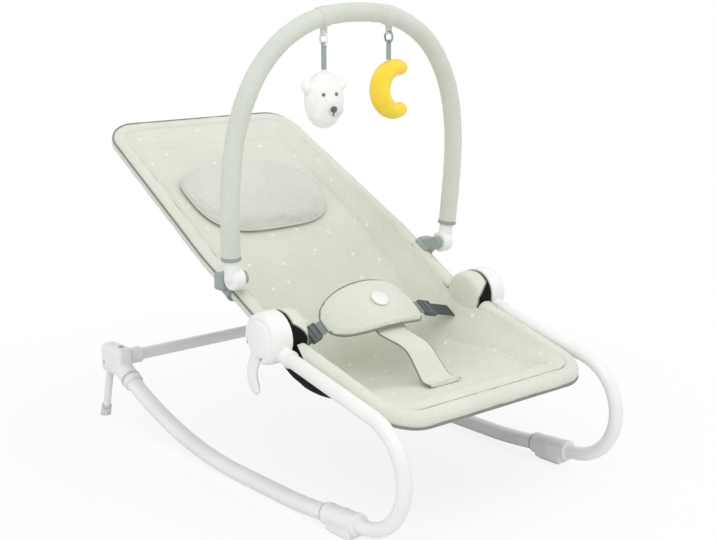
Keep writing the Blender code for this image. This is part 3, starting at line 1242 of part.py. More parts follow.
def add_pivot(name, place, pieces, parent=None):
    """An empty on a joint's axis, which carries the pieces that turn there."""
    pivot = bpy.data.objects.new(name, None)
    pivot.location = place
    PARTS.objects.link(pivot)
    bpy.context.view_layer.update()
    for child in [PARTS.objects[piece] for piece in pieces]:
        child.parent = pivot
        child.matrix_parent_inverse = pivot.matrix_world.inverted()
    if parent:
        pivot.parent = parent
        pivot.matrix_parent_inverse = parent.matrix_world.inverted()
    return pivot


def add_pivots():
    seat = add_pivot("seat_pivot", HUB, SEAT_PIECES + tuple(both_sides(SEAT_PAIRS)))
    place = Vector((0, ARCH_PIVOT_Y, ARCH_PIVOT_Z))
    bar_pieces = ["arch_core", "arch_sleeve"] + both_sides(("arch_knuckle", "toy_band"))
    bar = add_pivot("toy_bar_pivot", place, bar_pieces, seat)
    for toy, pieces in (("animal", ("animal_head", "animal_muzzle")), ("moon", ("toy_moon",))):
        ring = PARTS.objects[f"{toy}_ring"]
        pieces += (ring.name, f"{toy}_strap")
        add_pivot(f"{toy}_pivot", ring.location, pieces, bar)
    for side in SIDES:
        leg = PARTS.objects[f"stand_leg_{side}"]
        add_pivot(f"stand_pivot_{side}", leg.location, (leg.name, f"stand_tip_{side}"))


def build():
    cover = cover_rows()
    for side, sign in SIDES.items():
        bend, slope = bend_path(BEND_REAR_Y)
        bend = at_x(sign * BASE_HALF_WIDTH, bend)
        hollow_tube(f"front_bend_tube_{side}", bend, BASE_TUBE_RADIUS, BASE_TUBE_WALL, "white_paint")
        rocker, stretch = make_rocker(side, sign)
        make_front_foot(side, sign, rocker, stretch, bend)
        make_connector(side, sign, rocker, stretch)
        make_stand(side, sign)
        make_hub_housing(side, sign, bend, slope)
        make_lever(side, sign)
        make_lock_plate(side, sign)
        make_lever_spring(side, sign)
        make_seat_disc(side, sign)
        make_clip(side, sign)
        make_knuckle(side, sign)
        pin_length = CONNECTOR_WIDTH - 2 * CONNECTOR_PIN_INSET
        pin = stand_pin_mesh(sign * BASE_HALF_WIDTH, STAND_PIN_RADIUS, pin_length)
        add_part(f"stand_pin_{side}", pin, "steel")
        make_hub_pin(side, sign)
    make_cross_tube()
    make_seat_frame()
    over = make_cover(cover)
    make_pillow(over)
    make_harness(over)
    make_arch()
    band_bore = ARCH_SLEEVE_RADIUS + RUNNING_GAP
    sleeve_cut = tube_cutter("arch_sleeve_cut", arch_path(ARCH_SLEEVE_END_Z), band_bore, 2)
    hang = make_band("right", TOY_ANIMAL_X, sleeve_cut)
    make_animal(make_ring_and_strap("animal", hang, ANIMAL_STRAP_LENGTH, "white_plastic"))
    hang = make_band("left", TOY_MOON_X, sleeve_cut)
    make_moon(make_ring_and_strap("moon", hang, MOON_STRAP_LENGTH, "dark_webbing"))
    add_pivots()


build()
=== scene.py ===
# %% [markdown]
# # A baby bouncer, dressed over its fixed frame
#
# The real object is a rocking seat for a small child: white steel tubes underneath, a padded
# fabric seat that hangs in a tube frame, a harness, and a padded arch that carries two soft toys.
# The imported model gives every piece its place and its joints. This lesson puts the surfaces on:
# rounded mouldings, sewn fabric, piping, stitches and the finishes. It starts by loading the frame.

# %% Load the frame
import math

import bmesh
import bpy
import numpy as np
from mathutils import Matrix, Vector, noise
from mathutils.bvhtree import BVHTree


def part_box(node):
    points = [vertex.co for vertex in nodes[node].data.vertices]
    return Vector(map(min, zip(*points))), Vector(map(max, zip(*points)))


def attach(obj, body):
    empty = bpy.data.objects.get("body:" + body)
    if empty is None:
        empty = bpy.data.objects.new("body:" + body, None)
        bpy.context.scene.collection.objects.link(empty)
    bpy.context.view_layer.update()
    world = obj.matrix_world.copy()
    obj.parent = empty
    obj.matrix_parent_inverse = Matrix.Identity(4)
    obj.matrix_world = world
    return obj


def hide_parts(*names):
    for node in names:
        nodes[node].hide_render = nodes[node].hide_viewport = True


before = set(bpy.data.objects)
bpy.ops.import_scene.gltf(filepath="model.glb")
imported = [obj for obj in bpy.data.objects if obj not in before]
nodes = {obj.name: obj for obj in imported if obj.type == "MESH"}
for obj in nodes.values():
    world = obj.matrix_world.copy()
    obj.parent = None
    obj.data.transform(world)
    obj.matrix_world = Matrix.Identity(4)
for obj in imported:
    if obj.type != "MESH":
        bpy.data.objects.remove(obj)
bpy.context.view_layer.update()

scene = bpy.context.scene

# %% [markdown]
# ## The camera, the light and the floor
#
# The object stands on a plain white floor and is seen from its right front corner, a little from
# above. A product studio would use a white sweep and big soft boxes. Here the world is an even soft
# light, one large lamp from the upper left gives the shapes their shading, and the floor is mixed
# with plain white for the camera's rays, so that it stays white but keeps a pale shadow.

# %% Camera
camera_data = bpy.data.cameras.new("camera")
camera_data.lens = 63.87
camera_data.sensor_width = 36.0
camera = bpy.data.objects.new("camera", camera_data)
camera.location = (-1.234, -1.494, 0.735)
camera.rotation_euler = [math.radians(a) for a in (77.08, 0.0, -40.41)]
scene.collection.objects.link(camera)
scene.camera = camera
scene.view_settings.view_transform = "Standard"
print("camera at", tuple(camera.location))

# %% [markdown]
# Light, floor and finishes are all networks of shader nodes. One helper adds a node and wires it up,
# so each network below reads as a list of steps.

# %% Shader nodes
WHITE = (1.0, 1.0, 1.0, 1.0)


def put(tree, kind, inputs=(), **settings):
    """Adds a node. Each input, by name or number, takes a value or another node's output."""
    made = tree.nodes.new("ShaderNode" + kind)
    for name, value in settings.items():
        setattr(made, name, value)
    for socket, value in dict(inputs).items():
        if hasattr(value, "is_output"):
            tree.links.new(value, made.inputs[socket])
        else:
            made.inputs[socket].default_value = value
    return made


print("a first helper:", put.__name__)

# %% World and lamps
WORLD_LEVEL = 0.76
LAMP_AIM = Vector((0, 0, 0.25))
LAMPS = {
    "key_lamp": ((-1.5, -1.3, 2.3), 1.5, 20.0),
    "top_lamp": ((0.2, -0.3, 2.6), 1.8, 6.0),
    "fill_lamp": ((1.7, -1.2, 1.5), 1.4, 6.0),
}
scene.world = bpy.data.worlds.new("studio")
scene.world.use_nodes = True
sky = scene.world.node_tree
sky.nodes.clear()
rays = put(sky, "LightPath").outputs
seen = put(sky, "Math", {0: rays["Is Camera Ray"], 1: rays["Is Glossy Ray"]}, operation="MAXIMUM")
seen = put(sky, "Math", {0: seen.outputs[0], 1: rays["Is Transmission Ray"]}, operation="MAXIMUM")
soft, white = (put(sky, "Background", {"Color": WHITE, "Strength": level})
               for level in (WORLD_LEVEL, 1.0))
either = put(sky, "MixShader", {0: seen.outputs[0], 1: soft.outputs[0], 2: white.outputs[0]})
put(sky, "OutputWorld", {"Surface": either.outputs[0]})

for name, (place, size, power) in LAMPS.items():
    lamp_data = bpy.data.lights.new(name, "AREA")
    lamp_data.size = size
    lamp_data.energy = power
    lamp = bpy.data.objects.new(name, lamp_data)
    lamp.location = place
    lamp.rotation_euler = (LAMP_AIM - Vector(place)).to_track_quat("-Z", "Y").to_euler()
    scene.collection.objects.link(lamp)
print("world level", WORLD_LEVEL, "and", len(LAMPS), "lamps")

# %% Floor
FLOOR_SIZE, FLOOR_DROP, FLOOR_WHITE_SHARE = 30.0, 0.0004, 0.84
SHADOW_REACH, SHADOW_END = 0.45, 1.1
far = FLOOR_SIZE / 2
floor_mesh = bpy.data.meshes.new("floor")
floor_mesh.from_pydata([(-far, -far, 0), (far, -far, 0), (far, far, 0), (-far, far, 0)], [], [(0, 1, 2, 3)])
floor = bpy.data.objects.new("floor", floor_mesh)
floor.location.z = -FLOOR_DROP
scene.collection.objects.link(floor)
paper = bpy.data.materials.new("floor_paper")
paper.use_nodes = True
tree = paper.node_tree
matt = tree.nodes["Principled BSDF"]
matt.inputs["Base Color"].default_value = (0.93, 0.93, 0.93, 1.0)
matt.inputs["Roughness"].default_value = 0.95
matt.inputs["Specular IOR Level"].default_value = 0.0
away = put(tree, "VectorMath", {0: put(tree, "TexCoord").outputs["Object"]}, operation="LENGTH")
limits = {"From Min": SHADOW_REACH, "From Max": SHADOW_END, "To Min": FLOOR_WHITE_SHARE}
fade = put(tree, "MapRange", {"Value": away.outputs["Value"], **limits}, interpolation_type="SMOOTHSTEP")
to_camera = put(tree, "LightPath").outputs["Is Camera Ray"]
share = put(tree, "Math", {0: to_camera, 1: fade.outputs["Result"]}, operation="MULTIPLY")
glow = put(tree, "Emission", {"Color": WHITE, "Strength": 1.0})
mixed = put(tree, "MixShader", {0: share.outputs[0], 1: matt.outputs[0], 2: glow.outputs[0]})
tree.links.new(mixed.outputs[0], tree.nodes["Material Output"].inputs["Surface"])
floor_mesh.materials.append(paper)
print("floor", FLOOR_SIZE, "m wide")

# %% [markdown]
# ## Finishes
#
# A finish is a colour, a gloss and a fine relief. Each one here starts from the same few steps: a
# base colour that drifts a little from place to place, a roughness that isn't quite even, and a
# small bump whose size is the real one's, in metres. The patterns are worked out from the place on
# the piece, so no pictures are needed.

# %% Helpers for finishes
FINISHES = {}


class Finish:
    """A material under way: its shader, its colour and the record's slot it belongs to."""

    def __init__(self, name, slot, colour, roughness, **sockets):
        self.material = bpy.data.materials.new(name)
        self.material.use_nodes = True
        self.tree = self.material.node_tree
        self.shader = self.tree.nodes["Principled BSDF"]
        self.slot, self.colour, self.height = slot, colour, None
        for socket, value in {"Base Color": (*colour, 1.0), "Roughness": roughness, **sockets}.items():
            self.shader.inputs[socket.replace("_", " ")].default_value = value
        self.places = put(self.tree, "TexCoord").outputs
        FINISHES[name] = self

    def maths(self, operation, a, b=0.0):
        return put(self.tree, "Math", {0: a, 1: b}, operation=operation).outputs[0]

    def noise(self, size, detail=2.0):
        inputs = {"Vector": self.places["Object"], "Scale": 1.0 / size, "Detail": detail}
        return put(self.tree, "TexNoise", inputs).outputs["Fac"]

    def mapped(self, value, low, high, to_low, to_high):
        limits = {"From Min": low, "From Max": high, "To Min": to_low, "To Max": to_high}
        return put(self.tree, "MapRange", {"Value": value, **limits}).outputs["Result"]

    def blend(self, share, other):
        """Mixes another colour over the base colour, by a share from the nodes."""
        base = self.shader.inputs["Base Color"]
        under = base.links[0].from_socket if base.links else (*self.colour, 1.0)
        mix = put(self.tree, "Mix", {0: share, 6: under, 7: (*other, 1.0)}, data_type="RGBA")
        self.tree.links.new(mix.outputs[2], base)

    def drift(self, size, amount, detail=2.0):
        """The colour drifts between a little lighter and a little darker."""
        value = self.noise(size, detail)
        for limit, change in ((0.72, amount), (0.28, -amount)):
            self.blend(self.mapped(value, 0.50, limit, 0.0, 1.0), toned(self.colour, 1 + change))

    def uneven_gloss(self, size, low, high):
        gloss = self.mapped(self.noise(size, 3.0), 0.3, 0.7, low, high)
        self.tree.links.new(gloss, self.shader.inputs["Roughness"])

    def rubbed_edges(self, other, strength=0.5):
        """Edges that hands and floors rub take another tone."""
        pointed = put(self.tree, "NewGeometry").outputs["Pointiness"]
        broken = self.mapped(self.noise(0.006, 4.0), 0.35, 0.65, 0.0, 1.0)
        self.blend(self.maths("MULTIPLY", self.mapped(pointed, 0.52, 0.62, 0.0, strength), broken), other)

    def relief(self, height, depth, strength):
        """A bump of that depth in metres, on top of the one before."""
        inputs = {"Strength": strength, "Distance": depth, "Height": height}
        if self.height is not None:
            inputs["Normal"] = self.height
        self.height = put(self.tree, "Bump", inputs).outputs["Normal"]
        self.tree.links.new(self.height, self.shader.inputs["Normal"])

    def weave(self, pitch, where):
        """The height of a plain weave: threads that pass over and under, one pitch apart."""
        parts = put(self.tree, "SeparateXYZ", {"Vector": self.places[where]}).outputs
        turns = [self.maths("MULTIPLY", parts[axis], math.pi / pitch) for axis in (0, 1)]
        over = self.maths("MULTIPLY", *(self.maths("SINE", turn) for turn in turns))
        return self.maths("ADD", self.maths("MULTIPLY", over, 0.5), 0.5)


def toned(colour, factor):
    return [min(1.0, part * factor) for part in colour]


print("finishes can be made")

# %% [markdown]
# ### Painted and moulded finishes
#
# The tubes are powder coated: a baked white paint with a faint orange-peel surface. The hubs, feet
# and connectors are moulded in a slightly warmer white with a fine matt grain, and the clips on the
# seat frame are grey-green. Thread and the eyes are as simple, so they are made the same way.

# %% Plain finishes
CLIP_GREY, BUCKLE_GREY = (0.33, 0.385, 0.37), (0.10, 0.12, 0.12)


def plain(name, slot, colour, roughness, drift, gloss, grain, rubbed=None, **sockets):
    """A finish without a weave: drifting colour, uneven gloss, fine grain and rubbed edges."""
    made = Finish(name, slot, colour, roughness, **sockets)
    made.drift(*drift)
    if gloss:
        made.uneven_gloss(*gloss)
    size, detail, depth, strength = grain
    made.relief(made.noise(size, detail), depth, strength)
    if rubbed:
        made.rubbed_edges(*rubbed)
    return made


paint = plain("powder_coat", "white_paint", (0.86, 0.86, 0.845), 0.34, (0.09, 0.03), (0.02, 0.28, 0.42),
              (0.0022, 2.0, 0.00006, 0.5), [(0.68, 0.68, 0.66)], Coat_Weight=0.15)
moulded_white = plain("moulded_white", "white_plastic", (0.86, 0.868, 0.85), 0.42, (0.05, 0.025),
                      (0.012, 0.36, 0.50), (0.0007, 2.0, 0.00005, 0.6), [(0.70, 0.71, 0.69)])
clip_grey, buckle_grey = (
    plain(name, "grey_plastic", colour, 0.48, (0.02, 0.12), (0.008, 0.40, 0.58), (0.0007, 2.0, 0.00006, 0.7),
          [toned(colour, 1.5), 0.8])
    for name, colour in (("moulded_grey", CLIP_GREY), ("moulded_dark_grey", BUCKLE_GREY)))
steel = plain("machined_steel", "steel", (0.62, 0.62, 0.63), 0.32, (0.01, 0.06), (0.004, 0.26, 0.44),
              (0.0005, 2.0, 0.00003, 0.5), Metallic=1.0)
rubber = plain("grey_rubber", "grey_rubber", (0.66, 0.66, 0.65), 0.85, (0.008, 0.15), (0.004, 0.76, 0.94),
               (0.0009, 3.0, 0.0002, 0.6), [(0.50, 0.50, 0.49), 0.7])
thread, grey_thread = (
    plain(name, slot, colour, 0.7, (0.004, 0.10), None, (0.0004, 1.0, 0.0001, 0.8))
    for name, slot, colour in (("sewing_thread", "sage_fabric", (0.74, 0.77, 0.68)),
                               ("grey_sewing_thread", "sage_trim", (0.20, 0.22, 0.21))))
eye_dark = plain("eye_thread", "grey_plush", (0.16, 0.16, 0.17), 0.45, (0.002, 0.2), None,
                 (0.0004, 1.0, 0.0001, 0.6))
print("plain finishes:", ", ".join(FINISHES))

# %% [markdown]
# ### Fabrics
#
# The seat is a pale sage cotton with small lighter dots, sewn over thin wadding. Its edge is bound
# with a darker grey-green piping. Under it hangs a black mesh, and the harness straps are a tight
# dark webbing. A weave shows as a bump, and painted shade darkens the colour in its low places;
# the fuzz of real cloth is the shader's sheen. Plush is a deeper bump of small tufts, with painted
# shade darkening the colour between them.

# %% Woven finishes
SAGE, SAGE_SHADED, SAGE_DOT = (0.715, 0.735, 0.64), (0.64, 0.67, 0.59), (0.88, 0.89, 0.85)
WEAVE_PITCH, DOT_SPACING, DOT_RADIUS = 0.0009, 0.062, 0.0026


def woven(name, slot, colour, pitch, depth, sheen=0.25, where="UV", roughness=0.88, **sockets):
    cloth = Finish(name, slot, colour, roughness, Sheen_Weight=sheen, Sheen_Roughness=0.5, **sockets)
    cloth.drift(0.07, 0.035)
    threads = cloth.weave(pitch, where)
    slub = cloth.noise(pitch * 5, 4.0)
    # Painted shade: the colour is darker where the weave's height is low.
    cloth.blend(cloth.mapped(threads, 0.0, 0.45, 0.30, 0.0), toned(colour, 0.70))
    cloth.blend(cloth.mapped(slub, 0.52, 0.70, 0.0, 0.30), toned(colour, 1.12))
    cloth.blend(cloth.mapped(slub, 0.48, 0.30, 0.0, 0.30), toned(colour, 0.86))
    cloth.relief(cloth.noise(0.020, 3.0), 0.0022, 0.35)
    cloth.relief(threads, depth, 0.8)
    return cloth


def dotted(cloth):
    """Sparse small dots: one in each cell of a loose net, at a place of its own."""
    inputs = {"Vector": cloth.places["UV"], "Scale": 1.0 / DOT_SPACING, "Randomness": 0.75}
    cells = put(cloth.tree, "TexVoronoi", inputs, voronoi_dimensions="2D")
    edge = DOT_RADIUS / DOT_SPACING
    cloth.blend(cloth.mapped(cells.outputs["Distance"], edge * 0.8, edge * 1.2, 1.0, 0.0), SAGE_DOT)
    return cloth


sage = dotted(woven("sage_weave", "sage_fabric", SAGE, WEAVE_PITCH, 0.00012))
sage_plain = woven("sage_binding", "sage_fabric", SAGE, WEAVE_PITCH, 0.00012)
sage_fuzzy = woven("sage_padded", "sage_fabric", SAGE, WEAVE_PITCH, 0.00010, where="Object")
# Painted shade: the arch and the toy bands take the seat's sage made darker, for the shade on the arch's
# upright sides.
sage_arch_shaded = woven("arch_cloth_shaded", "sage_fabric", SAGE_SHADED, WEAVE_PITCH, 0.00012)
band_cloth_shaded = woven("band_cloth_shaded", "sage_fabric", SAGE_SHADED, WEAVE_PITCH, 0.00010, where="Object")
trim = woven("trim_tape", "sage_trim", (0.22, 0.25, 0.22), 0.0007, 0.00010)
pillow_cloth = woven("pillow_knit", "pillow_fabric", (0.66, 0.685, 0.62), 0.0011, 0.00016, 0.35, "Object")
webbing = woven("webbing_weave", "dark_webbing", (0.055, 0.062, 0.062), 0.0016, 0.00030, 0.10,
                roughness=0.72)
strap_grey = woven("toy_strap_weave", "dark_webbing", (0.32, 0.37, 0.36), 0.0009, 0.00020, 0.10,
                   roughness=0.75)
mesh_black = woven("mesh_lining", "black_lining", (0.007, 0.007, 0.008), 0.0016, 0.00040, 0.0,
                   Specular_IOR_Level=0.15)
print(len(FINISHES), "finishes so far")


# %% Plush finishes
def plush(name, slot, colour):
    pile = Finish(name, slot, colour, 0.95, Sheen_Weight=0.6, Sheen_Roughness=0.4)
    pile.drift(0.012, 0.06, 3.0)
    tufts = pile.noise(0.0011, 4.0)
    # Painted shade: the colour is darker between the tufts, where the bump is low.
    pile.blend(pile.mapped(tufts, 0.30, 0.48, 0.35, 0.0), toned(colour, 0.80))
    pile.relief(pile.noise(0.0060, 2.0), 0.0008, 0.35)
    pile.relief(tufts, 0.0007, 0.65)
    return pile


white_plush = plush("white_plush", "white_plush", (0.92, 0.92, 0.90))
grey_plush = plush("grey_plush", "grey_plush", (0.13, 0.13, 0.14))
muzzle_plush = plush("muzzle_plush", "grey_plush", (0.74, 0.74, 0.72))
yellow_plush = plush("yellow_plush", "yellow_plush", (0.97, 0.70, 0.055))
print(len(FINISHES), "finishes")

# %% [markdown]
# ## Ways to make a shape
#
# Most of this object is tube, so the first helpers sweep a round or flattened section along a path.
# A grid of points gives the sheets of fabric, and its UV map counts metres, so that a weave fits it.

# %% Pieces and skins
GAP = 0.0003
SIDES = {"right": -1, "left": 1}
X_AXIS, Y_AXIS, Z_AXIS = (Vector(axis) for axis in ((1, 0, 0), (0, 1, 0), (0, 0, 1)))
CORNERS = ((0, 0), (0, 1), (1, 1), (1, 0))


def place_piece(name, mesh, finish, body, stands_for=None):
    """Links a mesh as a piece of the object, with its finish and its body, and hides the part it stands for.
    """
    mesh.name = name
    mesh.materials.clear()
    mesh.materials.append(finish.material)
    piece = bpy.data.objects.new(name, mesh)
    scene.collection.objects.link(piece)
    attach(piece, body)
    if stands_for:
        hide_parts(stands_for)
    return piece


def smooth(mesh, angle=40):
    mesh.shade_smooth()
    mesh.set_sharp_from_angle(angle=math.radians(angle))
    return mesh


def solid(work, mesh=None):
    """Turns a bmesh's faces outwards and writes it to a mesh."""
    bmesh.ops.recalc_face_normals(work, faces=work.faces)
    mesh = mesh or bpy.data.meshes.new("solid")
    work.to_mesh(mesh)
    work.free()
    return mesh


def grid_mesh(points, wrap=False, close_ends=False):
    """A skin over rows of points, closed round each row and at both ends if need be."""
    points = np.asarray(points, float)
    rows, columns = points.shape[:2]
    ring = np.concatenate([points, points[:, :1]], 1) if wrap else points
    steps = [np.linalg.norm(np.diff(net, axis=i), axis=2).mean(1 - i) for i, net in enumerate((points, ring))]
    along, across = (np.concatenate([[0], np.cumsum(step)]) for step in steps)
    across -= across[-1] / 2
    faces, uvs = [], []
    for r in range(rows - 1):
        for c in range(columns if wrap else columns - 1):
            faces.append([(r + up) * columns + (c + on) % columns for up, on in CORNERS])
            uvs += [(across[c + on], along[r + up]) for up, on in CORNERS]
    for r, order in ((0, 1), (rows - 1, -1)) if close_ends else ():
        faces.append([r * columns + c for c in range(columns)][::order])
        uvs += [(0.0, 0.0)] * columns
    mesh = bpy.data.meshes.new("grid")
    mesh.from_pydata(points.reshape(-1, 3).tolist(), [], faces)
    mesh.uv_layers.new(name="UVMap").data.foreach_set("uv", np.asarray(uvs, np.float32).ravel())
    work = bmesh.new()
    work.from_mesh(mesh)
    return smooth(solid(work, mesh))


def padded_mesh(top, under):
    """A closed body between an upper and a lower grid."""
    loop = np.concatenate([np.asarray(top, float), np.asarray(under, float)[:, ::-1]], 1)
    return grid_mesh(loop, wrap=True, close_ends=True)


print("skins can be made")


# %% Paths and tubes
def path_frames(path, normal, closed=False):
    """At each point of a path that lies nearly in one plane: its side and its up direction."""
    path, normal = np.asarray(path, float), np.asarray(normal, float)
    ahead = np.roll(path, -1, 0) - np.roll(path, 1, 0) if closed else np.gradient(path, axis=0)
    ahead /= np.linalg.norm(ahead, axis=1)[:, None]
    up = normal - (ahead @ normal)[:, None] * ahead
    up /= np.linalg.norm(up, axis=1)[:, None]
    return path, np.cross(ahead, up), up


def tube_points(path, radius, normal, sides=24, closed=False, radii=1.0, flat=1.0):
    path, side, up = path_frames(path, normal, closed)
    angles = (np.arange(sides) * 2 * math.pi / sides)[:, None]
    out = side[:, None] * np.cos(angles) + up[:, None] * np.sin(angles) * flat
    points = path[:, None] + out * radius * np.broadcast_to(radii, len(path))[:, None, None]
    return np.concatenate([points, points[:1]], 0) if closed else points


def tube(path, radius, normal, closed=False, **more):
    points = tube_points(path, radius, normal, closed=closed, **more)
    return grid_mesh(points, wrap=True, close_ends=not closed)


def finer(path, step):
    """The same line with points at even steps."""
    line = np.asarray(path, float)
    reach = np.concatenate([[0], np.cumsum(np.linalg.norm(np.diff(line, axis=0), axis=1))])
    marks = np.linspace(0, reach[-1], max(2, round(reach[-1] / step)) + 1)
    return [Vector(place) for place in np.stack([np.interp(marks, reach, part) for part in line.T], 1)]


def headings(path):
    """At each point of a path: the way from the point before it to the point after it."""
    return [(after - before).normalized() for before, after in zip([path[0], *path], [*path[1:], path[-1]])]


def mirrored(path):
    """A path that ends on the middle plane, with its mirror image after it."""
    return path + [Vector((-place.x, place.y, place.z)) for place in reversed(path[:-1])]


def rounded(corners, radii, turn=math.radians(4)):
    """Straight runs between the corners, each inner corner rounded to its radius."""
    path = [corners[0]]
    for before, corner, after, radius in zip(corners, corners[1:], corners[2:], radii):
        back, on = (before - corner).normalized(), (after - corner).normalized()
        bend = math.pi - back.angle(on)
        start = corner + back * radius * math.tan(bend / 2)
        centre = corner + (back + on).normalized() * radius / math.cos(bend / 2)
        axis = (start - centre).cross(corner - before)
        steps = max(1, math.ceil(bend / turn))
        for step in range(steps + 1):
            path.append(centre + Matrix.Rotation(bend * step / steps, 3, axis) @ (start - centre))
    return path + [corners[-1]]


print("paths can be made")

# %% [markdown]
# A sewn row is made of single threads, each a short bead with rounded ends. Rays find where a row
# lies on a stuffed surface, so the threads sit on the cloth however it has swollen.

# %% Stitches
BEAD_REACH, BEAD_SHARES, BEAD_SIDES = (0.0, 0.2, 0.8, 1.0), (0.35, 1.0, 1.0, 0.35), 6


def joined(meshes):
    """Several meshes as one, their UV maps kept."""
    work = bmesh.new()
    for mesh in meshes:
        work.from_mesh(mesh)
    made = bpy.data.meshes.new("joined")
    work.to_mesh(made)
    work.free()
    made.shade_smooth()
    return made


def landed(mesh, places, direction, lift=0.0003):
    """Where rays from the places meet a surface. Places that miss it are left out."""
    surface = BVHTree.FromPolygons([v.co[:] for v in mesh.vertices], [p.vertices[:] for p in mesh.polygons])
    made = []
    for place in places:
        ray = direction(place) if callable(direction) else direction
        hit = surface.ray_cast(place, ray)[0]
        if hit is not None:
            made.append(hit - ray.normalized() * lift)
    return made


def stitches(name, lines, finish, body, length=0.0030, gap=0.0016, thick=0.0009):
    """Rows of short raised threads along lines that already lie on the cloth."""
    beads = []
    for line in lines:
        places = finer(line, length + gap)
        for place, after in zip(places, places[1:]):
            ahead = (after - place).normalized()
            path = [place + ahead * length * reach for reach in BEAD_REACH]
            up = ahead.cross(ahead.orthogonal())
            beads.append(tube(path, thick / 2, up, sides=BEAD_SIDES, radii=BEAD_SHARES))
    rows = smooth(joined(beads), 180)
    rows.uv_layers.remove(rows.uv_layers[0])
    place_piece(name, rows, finish, body)
    return len(beads)


print("stitches of", len(BEAD_REACH), "rings")

# %% [markdown]
# A moulding is put together from plain closed solids, cut, and then melted into one skin, which
# gives it the small fillets of a real moulded part.


# %% Closed solids
def settled(work, centre, turn=None):
    """Turns a shape that was made about the origin and moves it to its centre."""
    bmesh.ops.transform(work, matrix=Matrix.Translation(centre) @ (turn or Matrix()), verts=work.verts)
    return solid(work)


def rod(start, end, radius, sides=48):
    start, end = Vector(start), Vector(end)
    work = bmesh.new()
    bmesh.ops.create_cone(work, cap_ends=True, segments=sides, radius1=radius, radius2=radius,
                          depth=(end - start).length)
    return settled(work, (start + end) / 2, Z_AXIS.rotation_difference(end - start).to_matrix().to_4x4())


def bar(middle, half, radius, **more):
    """A rod from one side of a middle to the other."""
    return rod(middle - half, middle + half, radius, **more)


def block(low, high, rounding=0.0, turn=None):
    low, high = Vector(low), Vector(high)
    work = bmesh.new()
    bmesh.ops.create_cube(work, size=1.0, matrix=Matrix.Diagonal((*(high - low), 1.0)))
    if rounding:
        bmesh.ops.bevel(work, geom=work.edges[:], offset=rounding, segments=4, profile=0.5, affect="EDGES")
    return settled(work, (low + high) / 2, turn)


def brick(middle, half, rounding=0.0, turn=None):
    """A block given by its middle and its half sizes."""
    return block(Vector(middle) - Vector(half), Vector(middle) + Vector(half), rounding, turn)


def egg(centre, halves, turn=None):
    work = bmesh.new()
    bmesh.ops.create_uvsphere(work, u_segments=32, v_segments=16, radius=1.0,
                              matrix=Matrix.Diagonal((*halves, 1.0)))
    return settled(work, centre, turn)


def stacked(rings):
    """A skin from ring to ring. A ring of one point is a tip."""
    work = bmesh.new()
    rings = [[work.verts.new(place) for place in ring] for ring in rings]
    for low, high in zip(rings, rings[1:]):
        count = max(len(low), len(high))
        for a, b in zip(range(count), [*range(1, count), 0]):
            corners = (low[a % len(low)], low[b % len(low)], high[b % len(high)], high[a % len(high)])
            work.faces.new(dict.fromkeys(corners))
    return solid(work)


def turned(profile, start, direction, sides=72):
    """A profile of (radius, depth) turned about the line from start along direction."""
    turn = Z_AXIS.rotation_difference(direction).to_matrix()
    rings = []
    for radius, depth in profile:
        angles = [2 * math.pi * index / sides for index in range(sides if radius else 1)]
        places = [Vector((radius * math.cos(a), radius * math.sin(a), depth)) for a in angles]
        rings.append([start + turn @ place for place in places])
    return stacked(rings)


print("solids can be made")


# %% Mouldings
def temporary_object(mesh):
    made = bpy.data.objects.new("temporary", mesh)
    scene.collection.objects.link(made)
    return made


def evaluated(temporary):
    """The mesh that an object's modifiers make. The object itself is thrown away."""
    bpy.context.view_layer.update()
    graph = bpy.context.evaluated_depsgraph_get()
    mesh = bpy.data.meshes.new_from_object(temporary.evaluated_get(graph))
    bpy.data.objects.remove(temporary)
    return mesh


def combined(body, **tools):
    """Adds a union or a cut with each mesh. The tool objects have to last until it is evaluated."""
    others = []
    for operation, meshes in tools.items():
        for mesh in meshes:
            step = body.modifiers.new("join", "BOOLEAN")
            step.operation = operation
            step.object = temporary_object(mesh)
            others.append(step.object)
    return others


def moulded(solids, cuts=(), grain=0.0008, rounds=3):
    """Fuses solids, cuts them, and melts the result into one moulded skin."""
    body = temporary_object(solids[0])
    others = combined(body, UNION=solids[1:], DIFFERENCE=cuts)
    skin = body.modifiers.new("skin", "REMESH")
    skin.mode = "VOXEL"
    skin.voxel_size = grain
    ease = body.modifiers.new("ease", "SMOOTH")
    ease.factor = 0.5
    ease.iterations = rounds
    mesh = evaluated(body)
    for other in others:
        bpy.data.objects.remove(other)
    mesh.shade_smooth()
    return mesh


def both_sides(name, make, finish, body, node):
    """Makes the right and the left piece of a pair. make gets the side's sign."""
    for side, sign in SIDES.items():
        place_piece(f"{name}_{side}", make(sign), finish, body.format(side), f"{node}_{side}")


print("mouldings can be made")

# %% [markdown]
# ## The base tubes
#
# Each side of the base is two tubes. The rocker is a flattened tube with a long, even curve, and
# the front bend is a round tube that turns back over itself and climbs to the hub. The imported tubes
# have few sides, so smoother ones stand for them, swept along the same curves.

# %% Base tubes
BASE_HALF, BASE_TUBE_RADIUS = 0.212, 0.0105
BEND_RADIUS, BEND_CENTRE = 0.080, (-0.304, 0.105)
BEND_LOW_Z = BEND_CENTRE[1] - BEND_RADIUS
UPPER_SLOPE = math.radians(12.4)
HUB, HUB_TUBE_STOP = Vector((0, -0.103, 0.243)), 0.025
FOOT_MIDDLE_Y = -0.264
ROCKER_LOW_Z, ROCKER_RADIUS, ROCKER_FRONT_RADIUS = 0.0135, 0.70, 0.80
ROCKER_FLAT = (-0.02, -0.13)
ROCKER_ANGLE, ROCKER_STEPS = math.radians(27.5), 60
ROCKER_HALVES = (0.0135, 0.0115)
TUBE_SPACE = 0.002
DOWN = math.radians(-90)


def arc(x, centre, radius, first, last, steps):
    """Points of an arc in the upright plane at x. Its angle counts from the head end upwards."""
    angles = np.linspace(first, last, steps + 1)
    return [Vector((x, centre[0] + radius * math.cos(a), centre[1] + radius * math.sin(a))) for a in angles]


